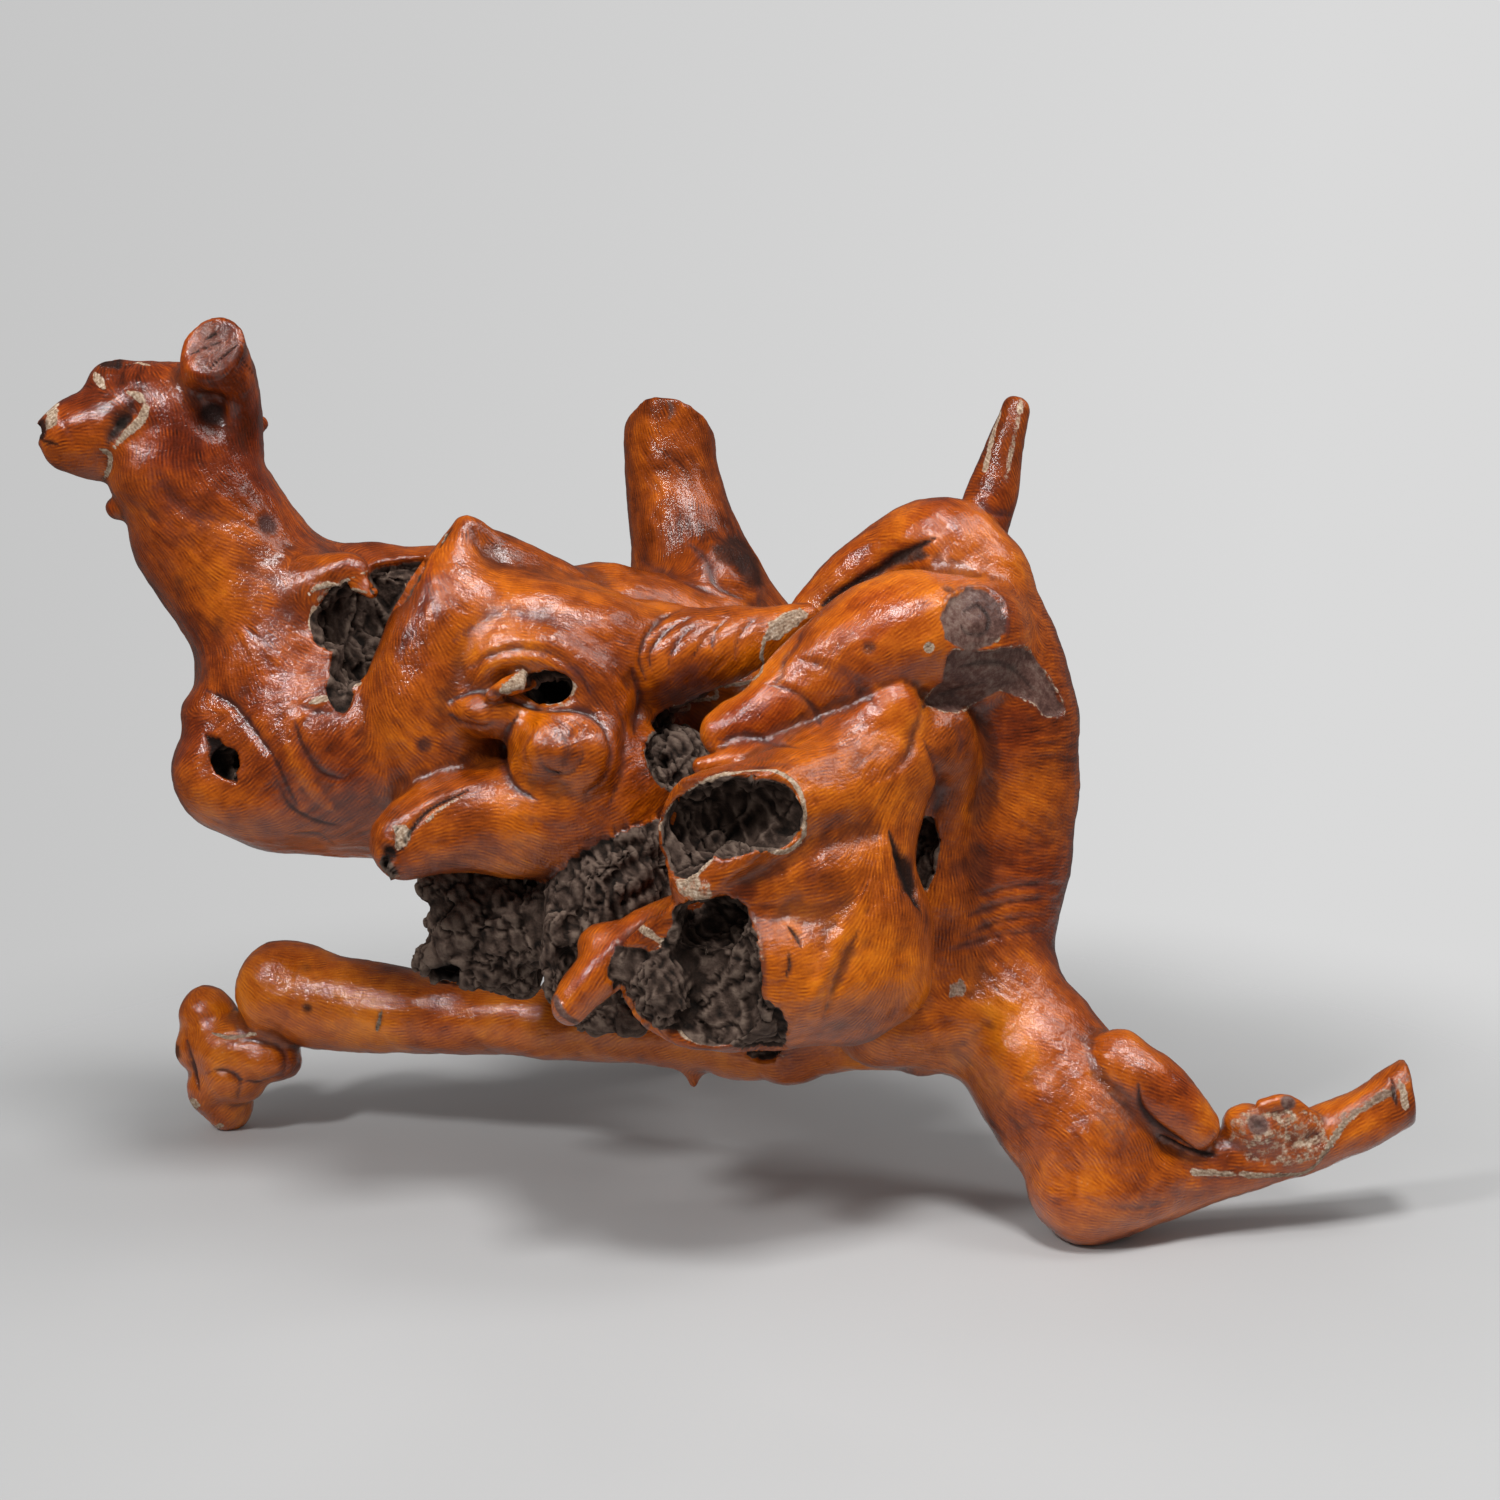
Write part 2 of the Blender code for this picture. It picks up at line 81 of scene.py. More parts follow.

# Colours from low to high shade, as (shade, colour).
RED_WOOD = ((0.18, (0.035, 0.005, 0.001)), (0.40, (0.14, 0.016, 0.001)), (0.60, (0.33, 0.048, 0.001)),
            (0.85, (0.62, 0.130, 0.004)))
GOLDEN_WOOD = ((0.18, (0.10, 0.015, 0.001)), (0.40, (0.32, 0.060, 0.001)), (0.60, (0.58, 0.135, 0.002)),
               (0.85, (0.80, 0.250, 0.006)))
BARE_WOOD = ((0.30, (0.14, 0.075, 0.045)), (0.5, (0.40, 0.28, 0.19)), (0.68, (0.68, 0.55, 0.43)))
BARK = ((0.35, (0.050, 0.020, 0.016)), (0.50, (0.120, 0.058, 0.045)), (0.66, (0.230, 0.150, 0.120)))
ROTTED_WOOD = ((0.22, (0.012, 0.008, 0.006)), (0.40, (0.044, 0.027, 0.020)), (0.58, (0.092, 0.060, 0.046)),
               (0.78, (0.17, 0.120, 0.092)))
FLOOR = ((0.35, (0.45, 0.45, 0.45)), (0.65, (0.50, 0.50, 0.50)))
# Colours mixed into the skin: a brown stain that also stands for painted shade in wide hollows, a purple
# stain that also stands for the painted sheen of the pale room, painted shade with some stain in narrow
# creases, and near black painted shade in cracks and holes.
BROWN_STAIN_AND_HOLLOW_SHADE = (0.065, 0.015, 0.007, 1)
PURPLE_STAIN_AND_SHEEN = (0.110, 0.032, 0.026, 1)
CREASE_STAIN_AND_SHADE = (0.030, 0.008, 0.005, 1)
BLACK_OF_CRACKS_AND_HOLES = (0.010, 0.007, 0.006, 1)


def smooth_min(a, b, melt):
    """The nearer of two distances, melted together where they differ by less than melt."""
    share = np.clip(0.5 + 0.5 * (b - a) / melt, 0.0, 1.0)
    return b + (a - b) * share - melt * share * (1.0 - share)


def share_of(new, old, melt):
    """How much of a melted distance comes from the new shape, from 0 to 1."""
    return np.clip(0.5 + 0.5 * (old - new) / melt, 0.0, 1.0)


def step_up(low, high, value):
    t = np.clip((value - low) / (high - low), 0.0, 1.0)
    return t * t * (3.0 - 2.0 * t)


@functools.cache
def waves(length, seed, count=4):
    draw = np.random.default_rng(seed)
    ways = draw.normal(size=(3, count))
    ways *= draw.uniform(0.7, 1.4, count) * 2 * math.pi / length / np.linalg.norm(ways, axis=0)
    return ways.astype(np.float32), draw.uniform(0, 6, count).astype(np.float32)


def ripple(at, length, seed):
    """Smooth noise from about -1 to 1 whose waves are about length long."""
    ways, phases = waves(length, seed)
    return np.sin(at @ ways + phases).sum(axis=1) / (len(phases) * 0.6)


def crags(at):
    """The broken surface of dry, rotted wood: blocks and cracks, from 0 down to about -1."""
    return -np.abs(ripple(at, 22.0, 5)) * 0.65 - np.abs(ripple(at, 9.0, 6)) * 0.35


def grown(at):
    """The same places pushed about a little, so that no limb is a perfect tube."""
    sway = [1.0 * ripple(at, 80.0, seed) + 0.6 * ripple(at, 30.0, seed + 3) for seed in (11, 12, 13)]
    return at + np.stack(sway, axis=1)


@functools.cache
def lattice(seed):
    return np.random.default_rng(seed).random((32, 32, 32, 4), np.float32)


def cloud(at, size, seed):
    """Smooth noise from 0 to 1 with patches of about that size."""
    place = at / size
    low = np.floor(place).astype(int)
    part = (place - low).astype(np.float32)
    part = part * part * (3.0 - 2.0 * part)
    table = lattice(seed)[..., 0]
    total = np.zeros(len(at), np.float32)
    for corner in np.ndindex(2, 2, 2):
        index = tuple(((low + corner) % 32).T)
        total += table[index] * np.prod(np.where(corner, part, 1.0 - part), axis=1)
    return total


def fog(at, size, seed, octaves=4):
    """Noise from 0 to 1 with finer and finer patches from that size down."""
    total, weight = np.zeros(len(at), np.float32), 0.0
    for octave in range(octaves):
        total += cloud(at, size / 2**octave, seed + octave) * 0.5**octave
        weight += 0.5**octave
    return total / weight


def blocks(at, size, seed):
    """Broken blocks of about that size, as (room to the nearest crack, each block's number from 0 to 1)."""
    place = at / size
    low = np.floor(place).astype(int)
    table = lattice(seed)
    nearest = np.full(len(at), 9.0, np.float32)
    second = nearest.copy()
    number = np.zeros(len(at), np.float32)
    for corner in np.ndindex(3, 3, 3):
        cell = low + np.array(corner) - 1
        drawn = table[tuple((cell % 32).T)]
        off = np.linalg.norm(cell + drawn[:, :3] - place, axis=1)
        closer = off < nearest
        second = np.where(closer, nearest, np.minimum(second, off))
        number = np.where(closer, drawn[:, 3], number)
        nearest = np.where(closer, off, nearest)
    return second - nearest, number


class Limb:
    """A tapering limb along a smooth route of (x, y, z, radius), sawn off where cut gives (point, way out).

    With flat under 1 a step along Y counts for only that much, so a stroke reaches a skin in front or behind.
    """

    STEPS = 4

    def __init__(self, *route, cut=None, flat=1.0):
        points = self.smoothed(np.array(route, float))
        ends = points[:, :3]
        self.flat = np.array((1.0, flat, 1.0), np.float32)
        self.starts = (ends[:-1] * self.flat).astype(np.float32)
        self.runs = (np.diff(ends, axis=0) * self.flat).astype(np.float32)
        self.lengths = np.sum(self.runs**2, axis=1)
        self.ways = self.runs / np.sqrt(self.lengths)[:, None]
        self.radii = points[:-1, 3].astype(np.float32)
        self.tapers = np.diff(points[:, 3]).astype(np.float32)
        slopes = np.clip(self.tapers / np.sqrt(self.lengths), -0.9, 0.9)
        self.leans = slopes / np.sqrt((1.0 - slopes**2) * self.lengths)
        self.cut = cut
        self.centre = (ends.max(0) + ends.min(0)) / 2
        self.reach = np.max(np.linalg.norm(ends - self.centre, axis=1) + points[:, 3]) / flat

    @classmethod
    def smoothed(cls, route):
        """More points on a curve that passes through the route's own."""
        if len(route) < 3:
            return route
        padded = np.vstack([2 * route[0] - route[1], route, 2 * route[-1] - route[-2]])
        made = []
        for before, start, end, after in zip(padded, padded[1:], padded[2:], padded[3:]):
            for t in np.arange(cls.STEPS) / cls.STEPS:
                lean = (end - before) * t + (2 * before - 5 * start + 4 * end - after) * t**2
                made.append(start + 0.5 * (lean + (3 * start - before - 3 * end + after) * t**3))
        return np.array([*made, route[-1]])

    def each(self, at):
        """The distance to every stretch of the limb."""
        away = (at * self.flat)[:, None, :] - self.starts
        along = np.einsum("nsk,sk->ns", away, self.runs) / self.lengths
        square = np.einsum("nsk,nsk->ns", away, away)
        aside = np.sqrt(np.maximum(square - along**2 * self.lengths, 0.0))
        along = np.clip(along + self.leans * aside, 0.0, 1.0)
        away = away - along[:, :, None] * self.runs
        return np.sqrt(np.einsum("nsk,nsk->ns", away, away)) - self.radii - along * self.tapers

    def sawn(self, at, nearest):
        if not self.cut:
            return nearest
        point, way = (np.array(v, float) for v in self.cut)
        past = (at - point) @ (way / np.linalg.norm(way))
        return -smooth_min(-nearest, -past, 2.0)

    def distance(self, at):
        return self.sawn(at, self.each(at).min(axis=1))

    def near(self, at):
        """(distance, the way that the limb runs there)."""
        every = self.each(at)
        return self.sawn(at, every.min(axis=1)), self.ways[every.argmin(axis=1)]


class Lump:
    """An egg-shaped knob with three half-widths, turned by degrees about X, Y and Z."""

    def __init__(self, centre, sizes, turn=(0, 0, 0)):
        self.centre = np.array(centre, float)
        self.sizes = np.array(sizes, float)
        self.turn = np.eye(3)
        for axis, degrees in enumerate(turn):
            c, s = math.cos(math.radians(degrees)), math.sin(math.radians(degrees))
            i, j = [k for k in range(3) if k != axis]
            step = np.eye(3)
            step[i, i], step[j, j], step[i, j], step[j, i] = c, c, -s, s
            self.turn = step @ self.turn
        self.reach = self.sizes.max()

    def distance(self, at):
        local = (at - self.centre) @ self.turn
        scaled = np.linalg.norm(local / self.sizes, axis=1)
        steep = np.linalg.norm(local / self.sizes**2, axis=1)
        return scaled * (scaled - 1.0) / np.maximum(steep, 1e-6)

    def near(self, at):
        return self.distance(at), None


class Step:
    """One stage of the root's growth or wear, which changes the field near its shape.

    rotted says whether it leaves rotted wood at the surface. rim is the width of the pale worn edge that a
    hollow leaves round it. tint is the colour from red (-1) to yellow (1), tone how much lighter it is,
    partly the wood's own colour and partly painted light and shade from part to part, and turn the degrees
    between the fibres and the limb.
    """

    def __init__(self, kind, shape, melt, rough=0.0, depth=0.0, rotted=False, rim=0.0):
        self.kind, self.shape, self.melt, self.rough, self.depth = kind, shape, melt, rough, depth
        self.rotted, self.rim, self.tint, self.tone, self.turn = rotted, rim, 0.0, 0.0, 0.0
        self.span = shape.reach + melt + 3 * abs(rough) + 12.0
        self.margin = (3 if kind == "press" else 1) * melt + abs(rough) + 2.0

    def offset(self, at):
        off = self.shape.distance(at)
        return off + self.rough * crags(at) if self.rough else off

    def combined(self, field, off):
        if self.kind == "grow":
            return smooth_min(field, off, self.melt)
        if self.kind == "hollow":
            return -smooth_min(-field, off, self.melt)
        return field + self.depth * np.exp(-np.square(np.maximum(off, 0.0) / self.melt))

    def matters(self, field, off, reach):
        """Whether it can change a field of this value anywhere within reach, given how far off it is."""
        rival = {"grow": field, "hollow": -field, "press": 0.0}[self.kind]
        return off - rival < (2.4 if self.kind != "press" else 1.3) * reach + self.margin


def grow(shape, melt, rough=0.0):
    return Step("grow", shape, melt, rough, rotted=rough > 0)


def hollow(shape, melt=1.5, rough=0.0, rim=1.2):
    return Step("hollow", shape, melt, rough, rotted=True, rim=rim)


def press(shape, depth, width):
    """A groove along a shape that lies in the skin."""
    return Step("press", shape, width, depth=depth)


def head():
    return [
        grow(Limb((-177, 10, 222, 42), (-202, 14, 250, 40), (-222, 14, 275, 36), (-236, 12, 300, 34),
                  (-241, 8, 322, 29), (-241, 6, 340, 26)), 10),
        grow(Lump((-247, 6, 338), (30, 26, 27)), 8),
        grow(Lump((-253, 0, 319), (21, 24, 19)), 8),
        grow(Lump((-258, 2, 349), (23, 20, 17.5)), 8),
        grow(Limb((-248, 4, 338, 22), (-266, -2, 338, 19), (-278, -4, 337, 17), (-286, -6, 336, 14)), 7),
        grow(Limb((-286, -6, 336, 12), (-296, -8, 337, 4.5)), 6),
        grow(Limb((-280, -4, 329, 12), (-291, -7, 327, 6.5)), 5),
        grow(Limb((-228, 12, 334, 17), (-225, 2, 350, 16.5), (-223, -16, 366, 14.2), (-221, -32, 375, 13),
                  cut=((-221, -26, 373), (-0.25, -0.93, 0.25))), 5),
        grow(Lump((-271, 0, 358), (10, 9, 10)), 7),
        grow(Lump((-273, 4, 305), (5, 5, 5)), 4),
        grow(Lump((-213, 22, 341), (2.4, 3, 3)), 3),
        hollow(Lump((-272, -3, 371), (6, 9, 3))),
        hollow(Lump((-305, -8, 335), (8, 14, 3.2), (0, 14, 0)), 1.5, 1.0, 0.5),
        hollow(Limb((-256, -25, 349, 2.6), (-262, -25, 342, 3.4), (-268, -24, 334, 2.0)), 4.0, 0.6, 0.0),
        press(Limb((-225, -14, 350, 3), (-225, -14, 343, 3)), 4.0, 5.0),
    ]


def left_body():
    return [
        grow(Limb((-160, 6, 206, 50), (-186, 2, 203, 47), (-206, -6, 197, 38), (-219, -14, 194, 29)), 8),
        grow(Limb((-200, 4, 178, 23), (-170, 8, 177, 24), (-130, 10, 174, 24)), 10),
        grow(Limb((-204, 4, 228, 37), (-190, 10, 250, 28), (-164, 26, 268, 18)), 8),
        grow(Limb((-186, -10, 272, 14), (-170, -18, 279, 8), (-162, -22, 275, 3)), 5),
        grow(Limb((-188, 26, 272, 16), (-164, 28, 274, 13.5), (-142, 26, 275, 12.5),
                  (-118, 16, 275, 13)), 6),
        grow(Lump((-230, -14, 219), (13, 14, 11)), 8),
        press(Lump((-218, -44, 201), (4, 8, 8)), 4.0, 9.0),
        hollow(Limb((-226, -46, 211, 3.5), (-222, -46, 203, 5), (-216, -44, 194, 3)), 3.0),
        hollow(Limb((-221, -46, 203, 5), (-213, -22, 199, 5.5)), 2.0),
    ]


def crotch_hollow():
    """The deep hollow between the neck and the ear, under a strip of wood that still bridges them."""
    return [
        hollow(Limb((-182, -34, 266, 5), (-172, -30, 259, 13), (-152, -22, 265, 15), (-139, -16, 274, 9),
                    (-133, -16, 283, 4)), 1.5, 1.5),
        hollow(Limb((-152, -24, 262, 14), (-160, -28, 246, 13), (-169, -34, 236, 6),
                    (-171, -42, 226, 3)), 1.5, 1.5),
        hollow(Limb((-176, -8, 256, 12), (-154, -2, 258, 17), (-136, 4, 262, 12)), 1.5, 2.0),
        hollow(Limb((-152, -6, 256, 15), (-160, -12, 240, 13)), 1.5, 2.0),
        grow(Limb((-164, -22, 275, 4), (-158, -25, 270, 2.5)), 2),
    ]


def ear_ridge():
    return [
        grow(Limb((-120, -14, 296, 5.5), (-124, -20, 283, 10.5), (-129, -25, 264, 17), (-135, -28, 244, 21),
                  (-139, -28, 222, 24), (-134, -18, 200, 30)), 6),
        grow(Limb((-114, -12, 294, 5), (-103, -4, 281, 12), (-84, 10, 260, 21)), 8),
        grow(Limb((-114, -20, 257, 23), (-90, -24, 251, 25), (-66, -18, 244, 27)), 14),
    ]


def face():
    return [
        grow(Limb((-104, 30, 256, 20), (-60, 46, 250, 28), (-22, 64, 240, 29)), 12),
        grow(Limb((-84, -3, 232, 38), (-70, -4, 198, 38)), 12),
        grow(Limb((-60, -26, 186, 33), (-88, -36, 178, 27), (-112, -44, 176, 22), (-132, -52, 174, 18),
                  (-141, -57, 170, 15)), 8),
        grow(Limb((-117, -40, 235, 7), (-101, -43, 246, 10), (-82, -45, 246, 11), (-67, -43, 237, 10),
                  (-58, -40, 226, 9)), 9),
        grow(Lump((-76, -49, 208), (23, 15, 20)), 11),
        grow(Lump((-83, -59, 210), (10, 8, 10)), 6),
        grow(Lump((-68, -57, 206), (12, 10, 12)), 6),
        grow(Lump((-109, -46, 222), (14, 11, 10)), 11),
        grow(Limb((-55, -2, 238, 30), (-22, -8, 243, 21), (2, -6, 249, 14), (24, -2, 259, 6)), 9),
        hollow(Limb((-103, -62, 234, 2), (-94, -60, 236, 4), (-86, -58, 235, 6), (-78, -57, 234, 6.5),
                    (-70, -60, 230, 3)), 2.0),
        hollow(Lump((-82, -46, 234), (9, 20, 6))),
        grow(Limb((-106, -57, 231, 3), (-97, -56, 235, 4), (-91, -52, 236, 3)), 3),
        hollow(Lump((-146, -68, 163), (4, 6, 4))),
    ]


def back_limb():
    return [
        grow(Limb((-22, 92, 236, 33), (-28, 98, 270, 29), (-34, 108, 303, 24), (-38, 112, 326, 22),
                  (-39, 114, 362, 19), cut=((-38, 93, 356), (0.05, 0.62, 0.78))), 14),
        grow(Limb((-30, 100, 290, 18), (-10, 100, 262, 19), (6, 92, 240, 20)), 10),
        grow(Lump((-15, 72, 270), (18, 16, 18)), 12),
        press(Lump((-3, 62, 281), (3, 4, 4)), 3.0, 4.0),
    ]


def right_lobes():
    return [
        grow(Limb((20, 22, 250, 9), (40, 22, 268, 13), (62, 18, 284, 17), (82, 10, 289, 21),
                  (95, 8, 276, 24)), 6),
        grow(Limb((92, -18, 250, 28), (62, -34, 253, 27), (41, -42, 245, 23.5), (21, -46, 231, 19),
                  (6, -50, 220, 14.5), (-11, -52, 213, 9.5)), 6),
        grow(Limb((58, -54, 224, 13), (30, -60, 211, 11), (6, -62, 206, 7), (-20, -66, 202, 4)), 5),
    ]


def trunk():
    return [
        grow(Limb((95, 8, 267, 26), (103, 4, 244, 30.5), (110, 3, 215, 33), (111, 2, 182, 32),
                  (109, 0, 150, 31),
                  (105, -3, 120, 30), (102, -6, 98, 30)), 8),
        grow(Limb((100, 34, 286, 13), (110, 38, 318, 10), (119, 42, 347, 6.5)), 5),
    ]


def leg_and_toe():
    return [
        grow(Limb((103, -9, 98, 29), (124, -27, 68, 33), (143, -44, 43, 33), (147, -53, 27, 27)), 10),
        grow(Limb((141, -57, 21.5, 22.7), (164, -56, 25, 18)), 7),
        grow(Limb((156, -52, 76, 13), (171, -58, 64, 14), (186, -60, 50, 10)), 4),
        grow(Limb((162, -53, 24, 19), (197, -50, 28, 15), (226, -46, 35, 14), (252, -42, 44, 13),
                  (286, -35, 60, 13),
                  (302, -31, 69, 13), cut=((283, -35, 58), (0.9, -0.1, 0.15))), 6),
        grow(Lump((213, -53, 46), (14, 10, 10), (0, -20, 0)), 5),
        grow(Lump((229, -50, 50), (11, 9, 7), (0, -20, 0)), 4),
        grow(Limb((216, -56, 57, 3), (226, -54, 58, 3.5), (237, -52, 52, 2.5)), 2),
    ]


def arm_and_paw():
    return [
        grow(Limb((96, -14, 90, 26), (50, -10, 78, 19), (5, 12, 66, 17), (-41, 28, 66, 16.5),
                  (-89, 44, 64, 16.5),
                  (-148, 64, 64, 19.5), (-196, 78, 65, 22.5), (-225, 86, 71, 24)), 8),
        grow(Limb((-266, 92, 56, 14), (-262, 92, 40, 17)), 6),
        grow(Limb((-236, 84, 46, 14), (-252, 84, 40, 17)), 6),
        grow(Lump((-271, 88, 40), (11, 12, 11)), 5),
        grow(Lump((-234, 79, 39), (16, 14, 12), (0, -20, 0)), 5),
        grow(Lump((-250, 79, 28), (15, 13, 12)), 5),
        grow(Lump((-264, 84, 20), (10, 12, 13)), 5),
        grow(Lump((-256, 88, 13), (12, 12, 14)), 4),
        grow(Limb((-27, 22, 56, 7), (-27, 22, 42, 1.5)), 6),
        grow(Lump((20, 2, 60), (12, 12, 11)), 6),
    ]


def torn_middle():
    """The rotted heart of the root, and the deep gap that it left between the face and the right lobes."""
    return [
        grow(Limb((-58, 46, 214, 38), (0, 52, 204, 40), (58, 38, 214, 36), (98, 14, 224, 32)), 14),
        hollow(Limb((-34, -38, 200, 13), (-21, -36, 211, 11), (-2, -34, 226, 8), (15, -28, 245, 6),
                    (26, -22, 256, 4)), 1.5, 1.5),
        hollow(Limb((-34, -16, 204, 15), (-12, -8, 214, 17), (10, -8, 232, 11)), 2.0, 2.0),
        grow(Limb((-64, -44, 130, 21), (-55, -38, 156, 25), (-42, -22, 180, 19),
                  (-30, -16, 196, 14)), 4, 4.0),
        grow(Limb((-63, -46, 98, 8), (-55, -48, 104, 10), (-36, -62, 112, 13)), 4, 3.0),
        grow(Limb((-128, -22, 128, 12), (-108, -22, 126, 20), (-88, -26, 131, 19),
                  (-70, -30, 134, 20)), 4, 3.0),
        grow(Limb((-135, -26, 146, 6), (-123, -24, 142, 10), (-108, -22, 140, 14)), 4, 2.0),
        grow(Limb((-137, -26, 113, 7), (-120, -24, 112, 10), (-100, -24, 107, 10)), 4, 2.0),
        hollow(Lump((-130, -36, 108), (9, 12, 4), (0, 10, 0)), 1.0, 1.0),
        grow(Limb((-80, -62, 138, 5), (-82, -62, 126, 5), (-78, -62, 108, 6), (-66, -62, 98, 6),
                  (-48, -66, 97, 5)), 3, 1.5),
    ]


def stump():
    """The broken stump in front, a thick shell round two rotted hollows."""
    return [
        grow(Limb((80, -36, 212, 14), (62, -46, 206, 19), (46, -54, 196, 25), (43, -60, 172, 26),
                  (40, -70, 148, 29),
                  (38, -74, 122, 30)), 8),
        grow(Limb((48, -54, 194, 24), (22, -74, 191, 23), (0, -92, 188, 21), (-14, -106, 186, 21),
                  (-30, -120, 184, 20),
                  cut=((-8, -112, 188), (-0.35, -0.93, 0.05))), 8),
        grow(Limb((44, -66, 132, 32), (18, -82, 124, 32), (-4, -94, 124, 30), (-22, -106, 126, 28),
                  (-34, -120, 126, 25),
                  cut=((-6, -116, 124), (-0.3, -0.95, 0.0))), 10),
        grow(Limb((22, -80, 161, 24), (-4, -92, 159, 17), (-20, -103, 163, 11)), 8),
        grow(Limb((40, -74, 122, 24), (56, -78, 121, 17)), 8),
        grow(Limb((54, -34, 88, 20), (88, -16, 88, 26)), 8),
        grow(Limb((74, -22, 200, 24), (74, -18, 165, 22), (76, -18, 130, 24), (78, -18, 100, 24)), 8),
        grow(Limb((74, -22, 70, 9), (71, -26, 90, 8), (72, -24, 108, 6)), 4),
        hollow(Limb((-21, -118, 185, 12), (-8, -114, 193, 11), (8, -108, 190, 12)), 1.5, 1.0),
        hollow(Lump((-8, -106, 188), (24, 13, 12)), 1.5, 2.5),
        hollow(Lump((-19, -116, 128), (22, 12, 28), (0, -6, 0)), 1.5, 1.5),
        hollow(Lump((-14, -104, 149), (14, 20, 9), (0, 10, 0)), 1.5, 2.0),
        grow(Lump((-33, -106, 121), (12, 9, 14)), 2, 2.5),
        hollow(Limb((70, -42, 172, 7), (66, -48, 156, 7), (64, -52, 143, 4)), 2.0, 1.0),
        hollow(Limb((72, -34, 168, 8), (68, -38, 152, 7)), 2.0, 1.0),
    ]


def prong():
    return [
        grow(Limb((-26, -70, 138, 14), (-46, -84, 133, 12), (-62, -92, 122, 10.5), (-71, -95, 112, 8)), 4),
        grow(Lump((-61, -84, 136), (9, 8, 6), (0, 30, 0)), 5),
    ]


def rear_leg():
    return [
        grow(Limb((-53, 84, 186, 34), (-38, 122, 134, 29), (-22, 162, 76, 20), (-15, 184, 34, 11),
                  (-13, 193, 6, 9)), 14),
        grow(Lump((-10, 104, 200), (84, 48, 48), (0, -6, 0)), 16),
        grow(Lump((-34, 122, 244), (30, 28, 36)), 12),
        grow(Lump((28, 136, 182), (26, 20, 24)), 8),
        grow(Lump((-72, 132, 172), (18, 20, 17)), 7),
    ]


def growth():
    """Every stage in order: what comes later covers, or cuts into, what came before."""
    parts = (  # each with its tint, the turn of its fibres and its tone, which lightens or darkens the part partly as painted light and shade
        (left_body, -0.35, 10, -0.03),
        (head, -0.5, 20, -0.03),
        (crotch_hollow, 0.0, 0, 0.0),
        (ear_ridge, 0.1, 10, -0.06),
        (face, 0.25, 0, -0.08),
        (back_limb, -0.05, 0, -0.17),
        (right_lobes, -0.35, 10, 0.13),
        (trunk, -0.35, 75, -0.06),
        (leg_and_toe, -0.35, 10, 0.04),
        (arm_and_paw, -0.15, 5, 0.12),
        (rear_leg, 0.0, 20, 0.0),
        (torn_middle, 0.0, 0, 0.0),
        (stump, 0.65, 5, -0.11),
        (prong, -0.1, 0, 0.08),
    )
    made = []
    for part, tint, turn, tone in parts:
        for step in part():
            step.tint, step.turn, step.tone = tint, turn, tone
            made.append(step)
    return made


class Growth:
    """The stages, with a quick way to find the few that matter near a place."""

    def __init__(self, steps):
        self.steps = steps
        self.centres = np.array([s.shape.centre for s in steps])
        self.spans = np.array([s.span for s in steps])

    def close(self, middle, reach):
        """(the stages that can change the field within reach of the middle, the field in the middle)"""
        at = grown(middle[None, :])
        field = np.full(1, FAR, np.float32)
        found = []
        for index in np.flatnonzero(np.linalg.norm(self.centres - middle, axis=1) < self.spans + reach):
            step = self.steps[index]
            off = step.offset(at)
            if step.matters(field[0], off[0], reach):
                found.append(step)
            field = step.combined(field, off)
        return found, float(field[0])

    def volume(self, cell):
        """The field on a grid of cells, as (array, lowest corner). Only what lies near the skin is exact."""
        shapes = [s.shape for s in self.steps if s.kind == "grow"]
        low = np.min([s.centre - s.reach for s in shapes], axis=0) - 4 * cell
        high = np.max([s.centre + s.reach for s in shapes], axis=0) + 4 * cell
        count = np.ceil((high - low) / (cell * BLOCK)).astype(int)
        filled = np.full(count * BLOCK, FAR, np.float32)
        index = np.indices((BLOCK,) * 3).reshape(3, -1).T
        inside = index * cell
        half = BLOCK // 2
        octant = (index // half) @ (4, 2, 1)
        middles = (np.indices((2, 2, 2)).reshape(3, -1).T * half + (half - 1) / 2) * cell
        reach = cell * BLOCK * math.sqrt(3) / 2
        for corner in np.ndindex(*count):
            start = low + np.array(corner) * BLOCK * cell
            found, middle = self.close(start + (BLOCK - 1) * cell / 2, reach)
            if not found:
                continue
            here = tuple(slice(c * BLOCK, (c + 1) * BLOCK) for c in corner)
            if abs(middle) > 1.25 * reach + 6.0:
                filled[here] = math.copysign(FAR, middle)
                continue
            coarse = field_at(start + middles, found)
            values = np.copysign(FAR, coarse)[octant].astype(np.float32)
            wanted = np.flatnonzero((np.abs(coarse) < 0.625 * reach + 4.0)[octant])
            if len(wanted):
                values[wanted] = field_at((start + inside[wanted]).astype(np.float32), found)
            filled[here] = values.reshape((BLOCK,) * 3)
        return filled, low

    def coat(self, at):
        """What lies at each point of the skin, as a dict of arrays, worked out patch by patch."""
        patch = np.floor(at / PATCH).astype(int)
        patches, owner = np.unique(patch, axis=0, return_inverse=True)
        order = np.argsort(owner.ravel(), kind="stable")
        ends = np.searchsorted(owner.ravel()[order], np.arange(len(patches) + 1))
        made = {}
        for number, corner in enumerate(patches):
            points = order[ends[number] : ends[number + 1]]
            found, _ = self.close((corner + 0.5) * PATCH, PATCH * math.sqrt(3) / 2)
            for name, values in coat_at(at[points].astype(np.float32), found).items():
                made.setdefault(name, np.zeros((len(at), *values.shape[1:]), np.float32))[points] = values
        return made


def field_at(at, steps):
    at = grown(at)
    field = np.full(len(at), FAR, np.float32)
    for step in steps:
        field = step.combined(field, step.offset(at))
    return field


